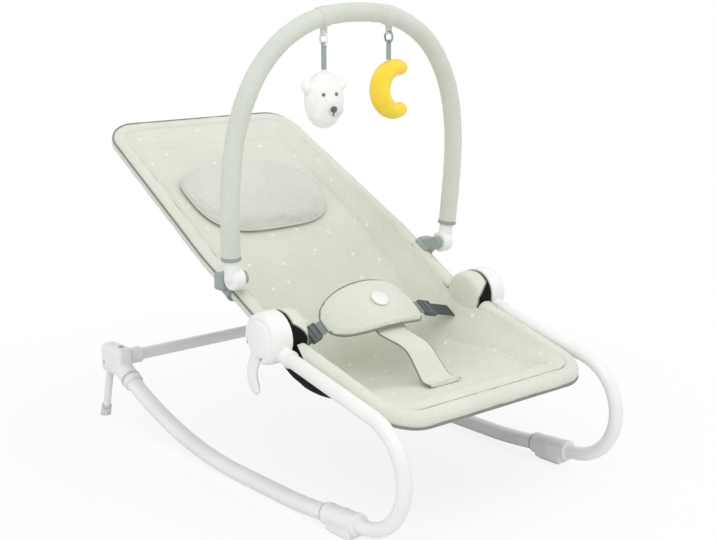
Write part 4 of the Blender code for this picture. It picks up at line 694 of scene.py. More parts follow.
def rocker_path(x):
    rise = math.asin((ROCKER_FLAT[1] - FOOT_MIDDLE_Y - TUBE_SPACE) / ROCKER_FRONT_RADIUS)
    centres = [(y, ROCKER_LOW_Z + r) for y, r in zip(ROCKER_FLAT, (ROCKER_RADIUS, ROCKER_FRONT_RADIUS))]
    rear = arc(x, centres[0], ROCKER_RADIUS, DOWN + ROCKER_ANGLE, DOWN, ROCKER_STEPS)
    return rear + arc(x, centres[1], ROCKER_FRONT_RADIUS, DOWN, DOWN - rise, 12)


def bend_path(x):
    path = [Vector((x, y, BEND_LOW_Z)) for y in (FOOT_MIDDLE_Y - TUBE_SPACE, BEND_CENTRE[0] + 0.001)]
    path += arc(x, BEND_CENTRE, BEND_RADIUS, DOWN + 2 * math.pi, -DOWN + UPPER_SLOPE, 64)
    slope = Vector((0, math.cos(UPPER_SLOPE), math.sin(UPPER_SLOPE)))
    to_hub = Vector((x, HUB.y, HUB.z)) - path[-1]
    along = to_hub.dot(slope)
    beside = math.sqrt(to_hub.length_squared - along**2)
    return path + [path[-1] + slope * (along - math.sqrt(HUB_TUBE_STOP**2 - beside**2))], slope


def bend_tube(sign):
    return tube(bend_path(sign * BASE_HALF)[0], BASE_TUBE_RADIUS, X_AXIS, sides=40)


def rocker_tube(sign):
    flat = ROCKER_HALVES[0] / ROCKER_HALVES[1]
    return tube(rocker_path(sign * BASE_HALF), ROCKER_HALVES[1], X_AXIS, sides=40, flat=flat)


both_sides("front_bend", bend_tube, paint, "base", "front_bend_tube")
both_sides("rocker", rocker_tube, paint, "base", "rocker_tube")
print("base tubes", 2 * BASE_HALF, "m apart")

# %% [markdown]
# ## Feet, connectors and stands
#
# A moulded foot joins rocker and bend tube at the front and stands on a rubber pad. At the back a
# connector holds the rocker's end, the cross tube and the pin on which a short stand folds out.
# Each moulding is fused from a collar, a block and the tube's socket.

# %% Front feet
FOOT_RADIUS, FOOT_ENDS, FOOT_LOW_Z = 0.0160, (-0.230, -0.298), 0.0026
FOOT_BLOCK_HALVES, FOOT_RIB_HALF, FOOT_ROUNDING = (0.0135, 0.025), 0.0028, 0.003
PAD_HALVES, PAD_TOP_Z, PAD_GROOVE_Z = (0.0090, 0.020), 0.0045, 0.0012
TREADS, TREAD_STEP, TREAD_HALVES, TREAD_TOP_Z = 9, 0.0044, (0.0088, 0.0012), 0.0020
SCREW_Y, SCREW_LOW_Z, SCREW_RADIUS = FOOT_MIDDLE_Y + 0.012, 0.037, 0.0030


def foot_ends(x):
    forward = ROCKER_FLAT[1] - FOOT_ENDS[0]
    height = ROCKER_LOW_Z + ROCKER_FRONT_RADIUS - math.sqrt(ROCKER_FRONT_RADIUS**2 - forward**2)
    rear, front = Vector((x, FOOT_ENDS[0], height)), Vector((x, FOOT_ENDS[1], BEND_LOW_Z))
    return rear, front, (front - rear).normalized()


def foot_box(x, halves, low, high, rounding=0.0, y=FOOT_MIDDLE_Y):
    """A block about a foot's middle, from one height to another."""
    half_x, half_y = halves
    return block((x - half_x, y - half_y, low), (x + half_x, y + half_y, high), rounding)


def front_foot(sign):
    x = sign * BASE_HALF
    rear, front, along = foot_ends(x)
    solids = [rod(rear, front, FOOT_RADIUS - 0.0008)]
    for place in (rear + along * 0.0035, front - along * 0.0035, (rear + front) / 2):
        solids.append(bar(place, along * FOOT_RIB_HALF, FOOT_RADIUS))
    solids.append(foot_box(x, FOOT_BLOCK_HALVES, FOOT_LOW_Z, BEND_LOW_Z, FOOT_ROUNDING))
    under = block((x - 0.05, FOOT_ENDS[1] - 0.05, -0.03), (x + 0.05, FOOT_ENDS[0] + 0.05, FOOT_LOW_Z))
    pocket = foot_box(x, [half + GAP for half in PAD_HALVES], -0.001, PAD_TOP_Z + GAP)
    screw = rod((x, SCREW_Y, SCREW_LOW_Z), (x, SCREW_Y, 0.060), SCREW_RADIUS)
    return moulded(solids, [under, pocket, screw], 0.0008, 3)


def sole_pad(sign):
    x = sign * BASE_HALF
    ribs = [foot_box(x, PAD_HALVES, PAD_GROOVE_Z, PAD_TOP_Z, 0.0004)]
    for step in range(TREADS):
        y = FOOT_MIDDLE_Y + TREAD_STEP * (step - (TREADS - 1) / 2)
        ribs.append(foot_box(x, TREAD_HALVES, 0.0, TREAD_TOP_Z, 0.0003, y))
    return joined(ribs)


both_sides("front_collar", front_foot, moulded_white, "base", "front_foot")
both_sides("sole_pad", sole_pad, rubber, "base", "foot_pad")
# A grey ring at the rear mouth of each foot stands for the shade where the rocker enters the collar.
for side, sign in SIDES.items():
    rear, front, along = foot_ends(sign * BASE_HALF)
    ring = rod(rear + along * 0.0005, rear - along * 0.0022, FOOT_RADIUS - 0.0012)
    place_piece(f"collar_shade_ring_{side}", smooth(ring), clip_grey, "base")
print("feet", round((front - rear).length, 3), "m long")

# %% Rear connectors
CONNECTOR_CENTRE, CONNECTOR_HALVES = Vector((0, 0.3330, 0.1100)), Vector((0.015, 0.032, 0.0245))
SOCKET_RADIUS, SOCKET_STEP = 0.0163, round(ROCKER_STEPS * 2.2 / 27.5)
CROSS_TUBE, CROSS_RADIUS, CROSS_END_X = Vector((0, 0.3260, 0.1130)), 0.0100, 0.1957
COLLAR_X, COLLAR_RADIUS, COLLAR_RIM_RADIUS = 0.1725, 0.0134, 0.0140
STAND_PIVOT = Vector((0, 0.3520, 0.1030))
CONNECTOR_SCREW = Vector((0, 0.318, 0.1338))


def at_side(x, place):
    return Vector((x, place.y, place.z))


def rear_connector(sign):
    x = sign * BASE_HALF
    rocker = rocker_path(x)
    start, end = rocker[SOCKET_STEP], rocker[0] + (rocker[0] - rocker[1]).normalized() * 0.010
    solids = [brick(at_side(x, CONNECTOR_CENTRE), CONNECTOR_HALVES, 0.009),
              rod(start, end, SOCKET_RADIUS - 0.0006),
              rod(start, start + (end - start).normalized() * 0.006, SOCKET_RADIUS),
              rod(at_side(sign * COLLAR_X, CROSS_TUBE), at_side(x, CROSS_TUBE), COLLAR_RADIUS),
              rod(at_side(sign * 0.1722, CROSS_TUBE), at_side(sign * 0.1780, CROSS_TUBE), COLLAR_RIM_RADIUS)]
    cuts = [block((x - 0.0068, 0.3382, 0.060), (x + 0.0068, 0.40, 0.1153)),
            bar(at_side(x, STAND_PIVOT), X_AXIS * 0.03, 0.0034),
            rod(at_side(sign * 0.165, CROSS_TUBE), at_side(sign * (CROSS_END_X + 0.0005), CROSS_TUBE),
                CROSS_RADIUS + 0.0006),
            rod((x, CONNECTOR_SCREW.y, 0.130), (x, CONNECTOR_SCREW.y, 0.150), 0.0032)]
    return moulded(solids, cuts, 0.0009, 3)


both_sides("rear_joint", rear_connector, moulded_white, "base", "rear_connector")
# A grey rubber ring on each rocker socket stands for the shade under the cross tube, between it and the
# rocker.
for side, sign in SIDES.items():
    before, start = rocker_path(sign * BASE_HALF)[SOCKET_STEP - 1:SOCKET_STEP + 1]
    outward = (before - start).normalized()
    ring = rod(start + outward * 0.0105, start + outward * 0.0150, SOCKET_RADIUS + GAP)
    place_piece(f"socket_shade_ring_{side}", smooth(ring), rubber, "base")
    cap = egg(at_side(sign * BASE_HALF, CONNECTOR_SCREW), (0.0056, 0.0056, 0.0026))
    place_piece(f"screw_cap_{side}", smooth(cap, 60), clip_grey, "base")
cross_path = finer([at_side(x, CROSS_TUBE) for x in (-CROSS_END_X, CROSS_END_X)], 0.05)
cross_tube = tube(cross_path, CROSS_RADIUS, Z_AXIS, sides=40)
place_piece("cross_tube", cross_tube, paint, "base", "rear_cross_tube")
print("connectors at", round(CONNECTOR_CENTRE.y, 3), "m")

# %% Stands
STAND_TILT = math.radians(15.4)
STAND_DOWN = Vector((0, math.sin(STAND_TILT), -math.cos(STAND_TILT)))
STAND_REACH = STAND_PIVOT.z / math.cos(STAND_TILT)
SHOE_PROFILE = ((0.0066, 0.0), (0.0079, 0.0003), (0.0084, 0.0012), (0.0085, 0.004), (0.0080, 0.0048),
                (0.0080, 0.0056), (0.0085, 0.0064), (0.0085, 0.030), (0.0066, 0.030), (0.0066, 0.0))
SHOE_LENGTH, LEG_RADIUS, LEG_SHORTER = 0.020, 0.0063, 0.005
EYE_HALF, EYE_RADII = X_AXIS * 0.0060, (0.0090, 0.0033)


def stand_leg(sign):
    pivot = at_side(sign * BASE_HALF, STAND_PIVOT)
    leg = rod(pivot, pivot + STAND_DOWN * (STAND_REACH - LEG_SHORTER), LEG_RADIUS, sides=40)
    eye, hole = bar(pivot, EYE_HALF, EYE_RADII[0]), bar(pivot, EYE_HALF * 2, EYE_RADII[1])
    return moulded([leg, eye], [hole], 0.0006, 3)


def stand_shoe(sign):
    """A turned rubber shoe, cut level with the floor."""
    top = at_side(sign * BASE_HALF, STAND_PIVOT) + STAND_DOWN * (STAND_REACH - SHOE_LENGTH)
    shoe = temporary_object(turned(SHOE_PROFILE, top, STAND_DOWN))
    ground = block(top + Vector((-0.03, -0.03, -0.06)), (top.x + 0.03, top.y + 0.04, 0.0))
    others = combined(shoe, DIFFERENCE=[ground])
    mesh = evaluated(shoe)
    bpy.data.objects.remove(others[0])
    return smooth(mesh)


both_sides("stand", stand_leg, paint, "stand_{}", "stand_leg")
both_sides("stand_shoe", stand_shoe, rubber, "stand_{}", "stand_tip")
print("stands", round(STAND_REACH, 3), "m long")

# %% [markdown]
# ## The hubs and their levers
#
# A hub is a round white shell on the top end of each bend tube, with a raised middle on its face.
# The seat turns on the pin inside it, and a finger lever hangs from a slot in its lower side. The
# shell is turned like a bowl, its tube socket is added, and the cavity and the slot are cut out.

# %% Hubs
HUB_INNER_X, HUB_RADIUS = 0.1997, 0.038
HUB_PROFILE = ((0, 0), (HUB_RADIUS - 0.0010, 0), (HUB_RADIUS, 0.0012), (HUB_RADIUS, 0.0225), (0.0375, 0.0255),
               (0.0362, 0.0285), (0.0340, 0.0308), (0.0315, 0.0322), (0.0300, 0.0326), (0.0290, 0.0316),
               (0.0276, 0.0316), (0.0266, 0.0330), (0.0240, 0.0346), (0.0180, 0.0356), (0.0100, 0.0362),
               (0, 0.0363))
LEVER_TURN, LEVER_DEPTH, SLOT_HALF = math.radians(33), 0.0270, 0.0056
HUB_SOCKET_RADIUS, HUB_SOCKET_LENGTH, HUB_CAVITY_RADIUS, HUB_CAVITY_DEPTH = 0.0122, 0.031, 0.0215, 0.0325


def hub_shell(sign):
    centre, out = at_side(sign * HUB_INNER_X, HUB), X_AXIS * sign
    bend, climb = bend_path(sign * BASE_HALF)
    end = bend[-1] - climb * HUB_SOCKET_LENGTH
    solids = [turned(HUB_PROFILE, centre, out), rod(bend[-1], end, HUB_SOCKET_RADIUS),
              rod(end + climb * 0.006, end, HUB_SOCKET_RADIUS + 0.0006)]
    slot = block((-SLOT_HALF, -0.0200, -0.0440), (SLOT_HALF, 0.0200, -0.0100))
    slot.transform(Matrix.Translation(centre + out * LEVER_DEPTH) @ Matrix.Rotation(LEVER_TURN, 4, "X"))
    cavity = rod(centre - out * 0.004, centre + out * HUB_CAVITY_DEPTH, HUB_CAVITY_RADIUS)
    return moulded(solids, [cavity, slot], 0.0008, 2)


both_sides("hub_shell", hub_shell, moulded_white, "base", "hub_housing")
print("hub shells", 2 * HUB_RADIUS, "m across")

# %% Levers
LEVER_TAIL = ((0.0070, -0.0160, 0.90), (0.0170, -0.0340, 1.00), (0.0240, -0.0500, 1.00),
              (0.0235, -0.0640, 1.00), (0.0170, -0.0760, 0.92), (0.0110, -0.0830, 0.45))
LEVER_HALF, LEVER_THICKNESS, LEVER_STEPS = 0.0110, 0.0100, 8
LEVER_RING_RADIUS, LEVER_BORE_RADIUS = 0.0204, 0.0055


def through(knots, steps):
    """A smooth curve through knots, each a row of numbers, with even steps between them."""
    knots = np.array([knots[0], *knots, knots[-1]])
    made = []
    for before, a, b, after in zip(knots, knots[1:], knots[2:], knots[3:]):
        for t in np.arange(steps) / steps:
            made.append(0.5 * (2 * a + (b - before) * t + (2 * before - 5 * a + 4 * b - after) * t**2
                               + (3 * a - before - 3 * b + after) * t**3))
    return np.array(made + [knots[-1]])


def lever(sign):
    centre = at_side(sign * (HUB_INNER_X + LEVER_DEPTH), HUB)
    knots = np.array(LEVER_TAIL)
    path = [centre + Vector((0, y, z)) for y, z in through(knots[:, :2], LEVER_STEPS)]
    radii = np.interp(np.arange(len(path)) / LEVER_STEPS, np.arange(len(knots)), knots[:, 2])
    tail = tube(path, LEVER_HALF, X_AXIS, sides=32, radii=radii,
                flat=LEVER_THICKNESS / 2 / LEVER_HALF)
    half = X_AXIS * (LEVER_THICKNESS / 2 - 0.0002)
    ring, bore = bar(centre, half, LEVER_RING_RADIUS), bar(centre, half * 2, LEVER_BORE_RADIUS)
    return moulded([ring, tail], [bore], 0.0007, 2)


both_sides("finger_lever", lever, moulded_white, "lever_{}", "release_lever")
print("levers", LEVER_THICKNESS, "m thick")

# %% [markdown]
# ## The seat's outline
#
# The seat hangs in two bent tubes, one for the back and one for the legs, which meet at the hubs.
# Each half of the frame is worked out once, as a plane and an outline in it, because the sleeves,
# the piping and the cover all follow them.

# %% Seat outline
HALF_AT_HUB = 0.1849
SLEEVE_RADIUS, SLEEVE_START = 0.0125, 0.0365


class SeatHalf:
    """One half of the seat frame: its plane, and its half widths at reaches from the hub."""

    def __init__(self, way, degrees, drop, widths, radii):
        self.slope = math.radians(degrees)
        self.along = Vector((0, math.cos(self.slope), math.sin(self.slope))) * way
        self.up = Vector((0, -math.sin(self.slope), math.cos(self.slope)))
        self.drop, self.widths, self.radii = drop, [(HALF_AT_HUB, 0.0), *widths], radii

    def point(self, half, reach, height=0.0):
        return HUB + self.along * reach + self.up * (height - self.drop) + X_AXIS * half

    def half(self, reach):
        widths, reaches = np.array(self.widths).T
        return float(np.interp(reach, reaches, widths))

    def outline(self, start):
        corners = [(self.half(start), start), *self.widths[1:], (0.0, self.widths[-1][1])]
        return rounded([Vector((*corner, 0)) for corner in corners], self.radii)

    def round_path(self, start, step=0.006):
        """The frame's line from the right side round to the left."""
        return finer(mirrored([self.point(-p.x, p.y) for p in self.outline(start)]), step)

    def sewn_line(self, start, radius, side_angle, end_angle):
        """A line along the sleeve: it lies at one angle from the top on the sides, at another at the end."""
        outline, rows = self.outline(start), []
        for corner, ahead in zip(outline, headings(outline)[:-1] + [-X_AXIS]):
            angle = math.radians(side_angle + (end_angle - side_angle) * ahead.x**2)
            out, height = radius * math.sin(angle), radius * math.cos(angle)
            rows.append(self.point(-corner.x - ahead.y * out, corner.y - ahead.x * out, height))
        rows[-1].x = 0
        return finer(mirrored(rows), 0.005)

    def inner_edge(self):
        """The outline moved inwards past the sleeve, as seen from above."""
        outline, inset, flat = self.outline(SLEEVE_START), SLEEVE_RADIUS + 0.0005, math.cos(self.slope)
        rows = []
        for corner, ahead in zip(outline[:-1], headings(outline)):
            way = Vector((ahead.x, ahead.y * flat)).normalized()
            rows.append(self.point(corner.x - way.y * inset, corner.y + way.x * inset / flat))
        return rows


BACK = SeatHalf(1, 28.1, 0.0163, [(0.1915, 0.200), (0.1765, 0.5412)], [0.180, 0.042])
FRONT = SeatHalf(-1, 14.7, 0.0092, [(0.1800, 0.2510)], [0.045])
print("back frame", BACK.widths[-1][1], "m, leg frame", FRONT.widths[-1][1], "m from the hub")

# %% [markdown]
# ## Edge sleeves and piping
#
# The cover is sewn round the tubes as a soft sleeve. It isn't a perfect pipe: the cloth bunches a
# little along it, and a row of dark piping is sewn into its outer edge. Near the hubs the front
# sleeve's hem climbs slantwise from under the tube to its top, and black mesh shows below the hem.
# So the sage cloth is laid as an open sheet round the tube, over a slightly thinner black sleeve.

# %% Edge sleeves
BUNCH_DEPTH, BUNCH_LENGTH = 0.0009, 0.022


def sleeve_mesh(path, radius, normal, seed):
    """A sleeve whose skin goes in and out a little, as cloth that is drawn on to a tube."""
    points = tube_points(path, radius, normal, sides=28)
    out = points - points.mean(1, keepdims=True)
    push = [[noise.noise(Vector(p) / BUNCH_LENGTH + X_AXIS * seed) for p in row] for row in points]
    points += out / np.linalg.norm(out, axis=2, keepdims=True) * np.array(push)[..., None] * BUNCH_DEPTH
    return grid_mesh(points, wrap=True, close_ends=True)


back_sleeve = BACK.round_path(SLEEVE_START)
place_piece("back_sleeve", sleeve_mesh(back_sleeve, SLEEVE_RADIUS, BACK.up, 1.0),
            sage_plain, "seat", "back_edge_sleeve")
print("back sleeve", len(back_sleeve), "rings")

# %% Front sleeve with its slanted hem
HEM = ((0.036, 30), (0.050, 55), (0.070, 95), (0.105, 140), (0.130, 180))
HEM_COLUMNS, HEM_RADIUS, HEM_LIFT, BLACK_REACH = 32, 0.0011, 0.0004, 0.126


def front_cloth():
    """The sheet round the front tube, and its hem's line on each side."""
    path = FRONT.round_path(SLEEVE_START, 0.004)
    side, up = path_frames(path, FRONT.up)[1:]
    rows, hems = [], {"right": [], "left": []}
    for index, place in enumerate(path):
        reach = (place - FRONT.point(0, 0)).dot(FRONT.along)
        hem = math.radians(np.interp(reach, *np.array(HEM).T))
        row = []
        for column in range(HEM_COLUMNS + 1):
            angle = hem - (hem + math.pi) * column / HEM_COLUMNS
            out = Vector(side[index]) * math.sin(angle) + Vector(up[index]) * math.cos(angle)
            loose = 0.0007 * noise.noise(place / BUNCH_LENGTH + out * 0.6)
            row.append(place + out * (SLEEVE_RADIUS + loose))
        rows.append(row)
        if reach < HEM[-1][0]:
            hem_place = place + (row[0] - place) * (1 + HEM_LIFT / SLEEVE_RADIUS)
            hems["left" if place.x > 0 else "right"].append(hem_place)
    return grid_mesh(rows), hems


front_mesh, hems = front_cloth()
place_piece("front_sleeve", front_mesh, sage_plain, "seat", "front_edge_sleeve")
for side, sign in SIDES.items():
    ends = [FRONT.point(sign * FRONT.half(reach), reach) for reach in (SLEEVE_START - 0.004, BLACK_REACH)]
    black = sleeve_mesh(finer(ends, 0.005), SLEEVE_RADIUS - 0.0009, FRONT.up, 3.0)
    place_piece(f"black_sleeve_{side}", black, mesh_black, "seat")
    place_piece(f"hem_{side}", tube(hems[side], HEM_RADIUS, FRONT.up, sides=10), sage_plain, "seat")
print("front sleeve", len(front_mesh.vertices), "points")

# %% Piping
BACK_PIPING, FRONT_PIPING_AND_SHADE = 0.00165, 0.0022
line = BACK.sewn_line(0.047, SLEEVE_RADIUS + 0.0003, 68, 38)
place_piece("back_piping", tube(line, BACK_PIPING, BACK.up, sides=14), trim, "seat")
print("back piping", len(line), "rings")
# The front piping is real dark piping, made thicker and set low under the edge so that it also stands for the
# shade under the front edge.
line = FRONT.sewn_line(BLACK_REACH, SLEEVE_RADIUS + 0.0010, 120, 120)
place_piece("front_piping_and_shade", tube(line, FRONT_PIPING_AND_SHADE, FRONT.up, sides=14), trim, "seat")
print("front piping", len(line), "rings")

# %% [markdown]
# At each hub the cover wraps over the turning disc as a small shoulder. Its round face is sage, and
# the sage reaches the rim only on top and behind: elsewhere the black mesh shows beside the hub. One
# domed profile is turned about the hub's axis for both, and a slanted hem with a cord ends the sage.

# %% Shoulders
SHOULDER_RADIUS, SHOULDER_INNER_X = 0.0362, 0.1664
SHOULDER_PROFILE = ((0.0, 0.0), (0.30, 0.0002), (0.55, 0.0006), (0.75, 0.0013), (0.88, 0.0025),
                    (0.96, 0.0056), (0.995, 0.0110), (1.0, 0.0180), (0.985, 0.0272))
SAGE_HEM = ((-60, 0.60), (0, 0.60), (38, 1.0), (190, 1.0), (220, 0.60), (300, 0.60))
BLACK_HEM = ((-60, 1.0), (300, 1.0))
BLACK_INSET, BLACK_MORE = 0.0003, 0.0046
SHOULDER_TURNS, SHOULDER_COLUMNS = 96, 14


def shoulder_mesh(sign, hem, inset=0.0, more=0.0):
    """The hem says, for an angle about the hub, how much of the profile the cloth covers."""
    shares, depths = np.array(SHOULDER_PROFILE).T
    along = np.linspace(0, 1, len(shares))
    rows = []
    for degrees in np.linspace(hem[0][0], hem[-1][0], SHOULDER_TURNS + 1):
        angle = math.radians(degrees)
        out = Vector((0, -math.cos(angle), math.sin(angle)))
        row, reach = [], np.interp(degrees, *np.array(hem).T)
        for place in reach * np.arange(SHOULDER_COLUMNS + 1) / SHOULDER_COLUMNS:
            share, depth = np.interp(place, along, shares), np.interp(place, along, depths)
            x = sign * (SHOULDER_INNER_X + inset + depth + more * (depth / depths[-1]) ** 4)
            fold = 0.0005 * share * noise.noise(Vector((x * 60, out.y * 3, out.z * 3)))
            smaller = inset * 1.5 * min(1.0, share * 2)
            row.append(at_side(x, HUB) + out * (SHOULDER_RADIUS * share - smaller + fold))
        rows.append(row)
    return grid_mesh(rows), [row[-1] for row in rows[:-1]]


for side, sign in SIDES.items():
    sage_shoulder, rim = shoulder_mesh(sign, SAGE_HEM)
    place_piece(f"shoulder_{side}", sage_shoulder, sage_plain, "seat")
    cord = tube(rim, HEM_RADIUS, X_AXIS, sides=10, closed=True)
    place_piece(f"shoulder_cord_{side}", cord, trim, "seat")
    black_shoulder = shoulder_mesh(sign, BLACK_HEM, BLACK_INSET, BLACK_MORE)[0]
    place_piece(f"black_shoulder_{side}", black_shoulder, mesh_black, "seat")
print("shoulders", SHOULDER_RADIUS, "m in radius")

# %% [markdown]
# ## The padded cover
#
# The cover is two layers of cloth with wadding between, hung in the frame like a hammock. It is
# deepest under the child's seat and rises to both ends. It is laid here as a fine grid of points:
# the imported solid's own curve, a rim that rises on to the sleeve, soft puckers at the seam, and slow
# waves where the cloth is slack.

# %% Cover outline
COVER_STEP, HUB_REACH, HUB_LIMIT = 0.0045, 0.056, 0.1700


def cover_edge():
    """The cover's left edge from the head to the feet, held in where it passes the hub."""
    rows = BACK.inner_edge()[::-1] + FRONT.inner_edge()
    made = [rows[0]]
    for place in rows[1:]:
        start, steps = made[-1], max(1, round((place - made[-1]).length / COVER_STEP))
        made += [start.lerp(place, (step + 1) / steps) for step in range(steps)]
    for row in made:
        near = 1 - min(1.0, abs(row.y - HUB.y) / HUB_REACH)
        row.x = min(row.x, HUB_LIMIT + (row.x - HUB_LIMIT) * (1 - min(1.0, near * 5)))
    return made


EDGE = cover_edge()
print("cover edge", len(EDGE), "rows")

# %% Cover curve
HOLLOW_DEPTH, HOLLOW_Y, HOLLOW_HEAD, HOLLOW_FEET = 0.090, -0.045, 0.125, 0.145
BACK_SAG, END_SAG_SPREAD, SIDE_POWER = 0.034, 0.070, 5.5
COVER_SEAM, COVER_THIN, COVER_CROWN, COVER_EDGE_CROWN = 0.86, 0.0060, 0.0070, 0.0028


def smooth_step(value):
    value = max(0.0, min(1.0, value))
    return value * value * (3 - 2 * value)


def seam_dip(distance, width):
    """A sewn line pulls the padding down to a groove."""
    return math.exp(-((distance / width) ** 2))


def cover_under(row, share):
    """The height of the cover's underside, at a share of a row's half width."""
    spread = HOLLOW_HEAD if row.y > HOLLOW_Y else HOLLOW_FEET
    depth = BACK_SAG + HOLLOW_DEPTH * seam_dip(row.y - HOLLOW_Y, spread)
    depth *= smooth_step(min(EDGE[0].y - row.y, row.y - EDGE[-1].y) / END_SAG_SPREAD)
    return row.z - depth * (1 - abs(share) ** SIDE_POWER)


def cover_padding(share):
    if abs(share) < COVER_SEAM:
        return COVER_THIN + COVER_CROWN * math.sqrt(1 - (share / COVER_SEAM) ** 2)
    middle = (1 + COVER_SEAM) / 2
    return COVER_THIN + COVER_EDGE_CROWN * (1 - abs(abs(share) - middle) / (1 - middle))


def cover_height(x, y):
    """The top of the cover at a place, from the rows on both sides of it."""
    for row, after in zip(EDGE, EDGE[1:]):
        if after.y <= y <= row.y and row.y - after.y > 1e-7:
            mixed = row.lerp(after, (row.y - y) / (row.y - after.y))
            share = max(-1.0, min(1.0, x / mixed.x))
            return cover_under(mixed, share) + cover_padding(share)
    return EDGE[0].z


print("cover hangs to", round(min(cover_under(row, 0.0) for row in EDGE), 3), "m")

# %% Cover surface
SEAM_INSET, SEAM_DEPTH, SEAM_WIDTH = 0.0255, 0.0026, 0.0035
PUCKER_DEPTH, PUCKER_LENGTH, PUCKER_WIDTH = 0.0006, 0.017, 0.014
WAVE_DEPTH, WAVE_FROM, FULL_FROM, HUB_FLAT, HUB_FLAT_END = 0.0012, 0.05, 0.022, 0.035, 0.030
RIM_PADDING, RIM_REACH, RIM_RISE, RIM_OUT = 0.0027, 0.020, 0.0058, 0.0034
SEAM_SHARES = [sign * (COVER_SEAM + step) for sign in (-1, 1) for step in (-0.030, -0.015, 0, 0.015, 0.030)]
SHARES = sorted({round(share, 5) for share in [*np.linspace(-1, 1, 81), *SEAM_SHARES]})


def way_out(x, y):
    """How far the cover's outline is from a place, as seen from above, and the way out to it."""
    offset = np.array([x, y]) - RING
    reach = np.clip((offset * RING_LINE).sum(1) / RING_LENGTH**2, 0, 1)
    gap = np.linalg.norm(offset - RING_LINE * reach[:, None], axis=1)
    nearest = int(gap.argmin())
    ahead = RING_LINE[nearest] / RING_LENGTH[nearest]
    return gap[nearest], (-ahead[1], ahead[0])


def cover_point(row, share):
    """A point of the cover's top: puckered at the seam, and rising to lie on the edge sleeve."""
    x = row.x * share
    distance, way = way_out(x, row.y)
    to_seam, full = distance - SEAM_INSET, smooth_step(distance / FULL_FROM)
    uneven = 3 * noise.noise(Vector((x, row.y, 0)) * 30)
    pucker = PUCKER_DEPTH * math.sin(row.y * 2 * math.pi / PUCKER_LENGTH + uneven)
    wave = WAVE_DEPTH * noise.noise(Vector((x * 14, row.y * 9, 4.0))) * smooth_step(distance / WAVE_FROM)
    padding = RIM_PADDING + (cover_padding(share) - RIM_PADDING) * full
    groove = SEAM_DEPTH * seam_dip(to_seam, SEAM_WIDTH) * full
    height = cover_under(row, share) + padding - groove + pucker * seam_dip(to_seam, PUCKER_WIDTH) + wave
    near = smooth_step(1 - distance / RIM_REACH) * smooth_step((abs(row.y - HUB.y) - HUB_FLAT) / HUB_FLAT_END)
    up, along = (BACK.up, BACK.along) if row.y > HUB.y else (FRONT.up, -FRONT.along)
    out = X_AXIS * way[0] + along * way[1]
    return Vector((x, row.y, height)) + (out * RIM_OUT + up * RIM_RISE) * near


RING = np.array([(row.x, row.y) for row in EDGE] + [(-row.x, row.y) for row in reversed(EDGE)])
RING_LINE = np.roll(RING, -1, 0) - RING
RING_LENGTH = np.maximum(np.linalg.norm(RING_LINE, axis=1), 1e-9)
top = [[cover_point(row, share) for share in SHARES] for row in EDGE]
under = [[(row.x * share, row.y, cover_under(row, share)) for share in SHARES] for row in EDGE]
cover = place_piece("padded_cover", padded_mesh(top, under), sage, "seat", "seat_cover")
print("cover", len(top), "rows of", len(SHARES))

# %% [markdown]
# A line of stitches runs beside the seam, along each side and across both ends. The lining is a
# black mesh that hangs right under the cover, held along the same edges.

# %% Cover stitches and lining
STITCH_INSET, LINING_GAP, LINING_THICKNESS = SEAM_INSET + 0.005, 0.0005, 0.0017
lines = []
for sign in SIDES.values():
    for low, high in ((HUB.y + 0.062, EDGE[0].y - 0.050), (EDGE[-1].y + 0.050, HUB.y - 0.062)):
        rows = [row for row in EDGE if low < row.y < high]
        lines.append([Vector((sign * (row.x - STITCH_INSET), row.y, 1.0)) for row in rows])
for end, inwards in ((EDGE[0], -1), (EDGE[-1], 1)):
    y = end.y + inwards * STITCH_INSET
    lines.append([Vector((end.x * share, y, 1.0)) for share in np.linspace(-1, 1, 41)])
count = stitches("cover_stitches", [landed(cover.data, line, -Z_AXIS) for line in lines], thread, "seat")

top, under = [], []
for row in EDGE[2:-2]:
    places = [Vector((row.x * share, row.y, cover_under(row, share))) for share in np.linspace(-1, 1, 61)]
    top.append([place - Z_AXIS * LINING_GAP for place in places])
    waves = [0.0006 * noise.noise(Vector((place.x * 25, place.y * 25, 9.0))) for place in places]
    depth = LINING_GAP + LINING_THICKNESS
    under.append([place + Z_AXIS * (wave - depth) for place, wave in zip(places, waves)])
place_piece("mesh_underside", padded_mesh(top, under), mesh_black, "seat", "seat_lining")
print(count, "stitches, and a lining of", len(top), "rows")

# %% [markdown]
# ## The head pillow
#
# The pillow is a loose, crowned cushion on the upper part of the back. Its shape is blown up by a
# cloth simulation, as a sewn cover fills with wadding: a closed skin, a little pressure, and a cap
# on how far a point may go. Then a rim of piping is laid round it.


# %% Stuffing helper
def coordinates(mesh, kind):
    values = np.zeros(len(mesh.vertices) * 3, np.float32)
    mesh.vertices.foreach_get(kind, values)
    return values.reshape(-1, 3)


def blown_up(body, pressure=4.0, frames=20, stiffness=12.0):
    """The mesh of a closed skin after some frames of cloth under pressure."""
    cloth = body.modifiers.new("cover", "CLOTH")
    settings = cloth.settings
    settings.use_pressure = True
    settings.uniform_pressure_force = pressure
    settings.effector_weights.gravity = 0.0
    settings.tension_stiffness = settings.compression_stiffness = stiffness
    settings.quality = 4
    cloth.point_cache.frame_start = 1
    cloth.point_cache.frame_end = frames
    for number in range(1, frames + 1):
        scene.frame_set(number)
    blown = evaluated(body)
    scene.frame_set(1)
    return blown


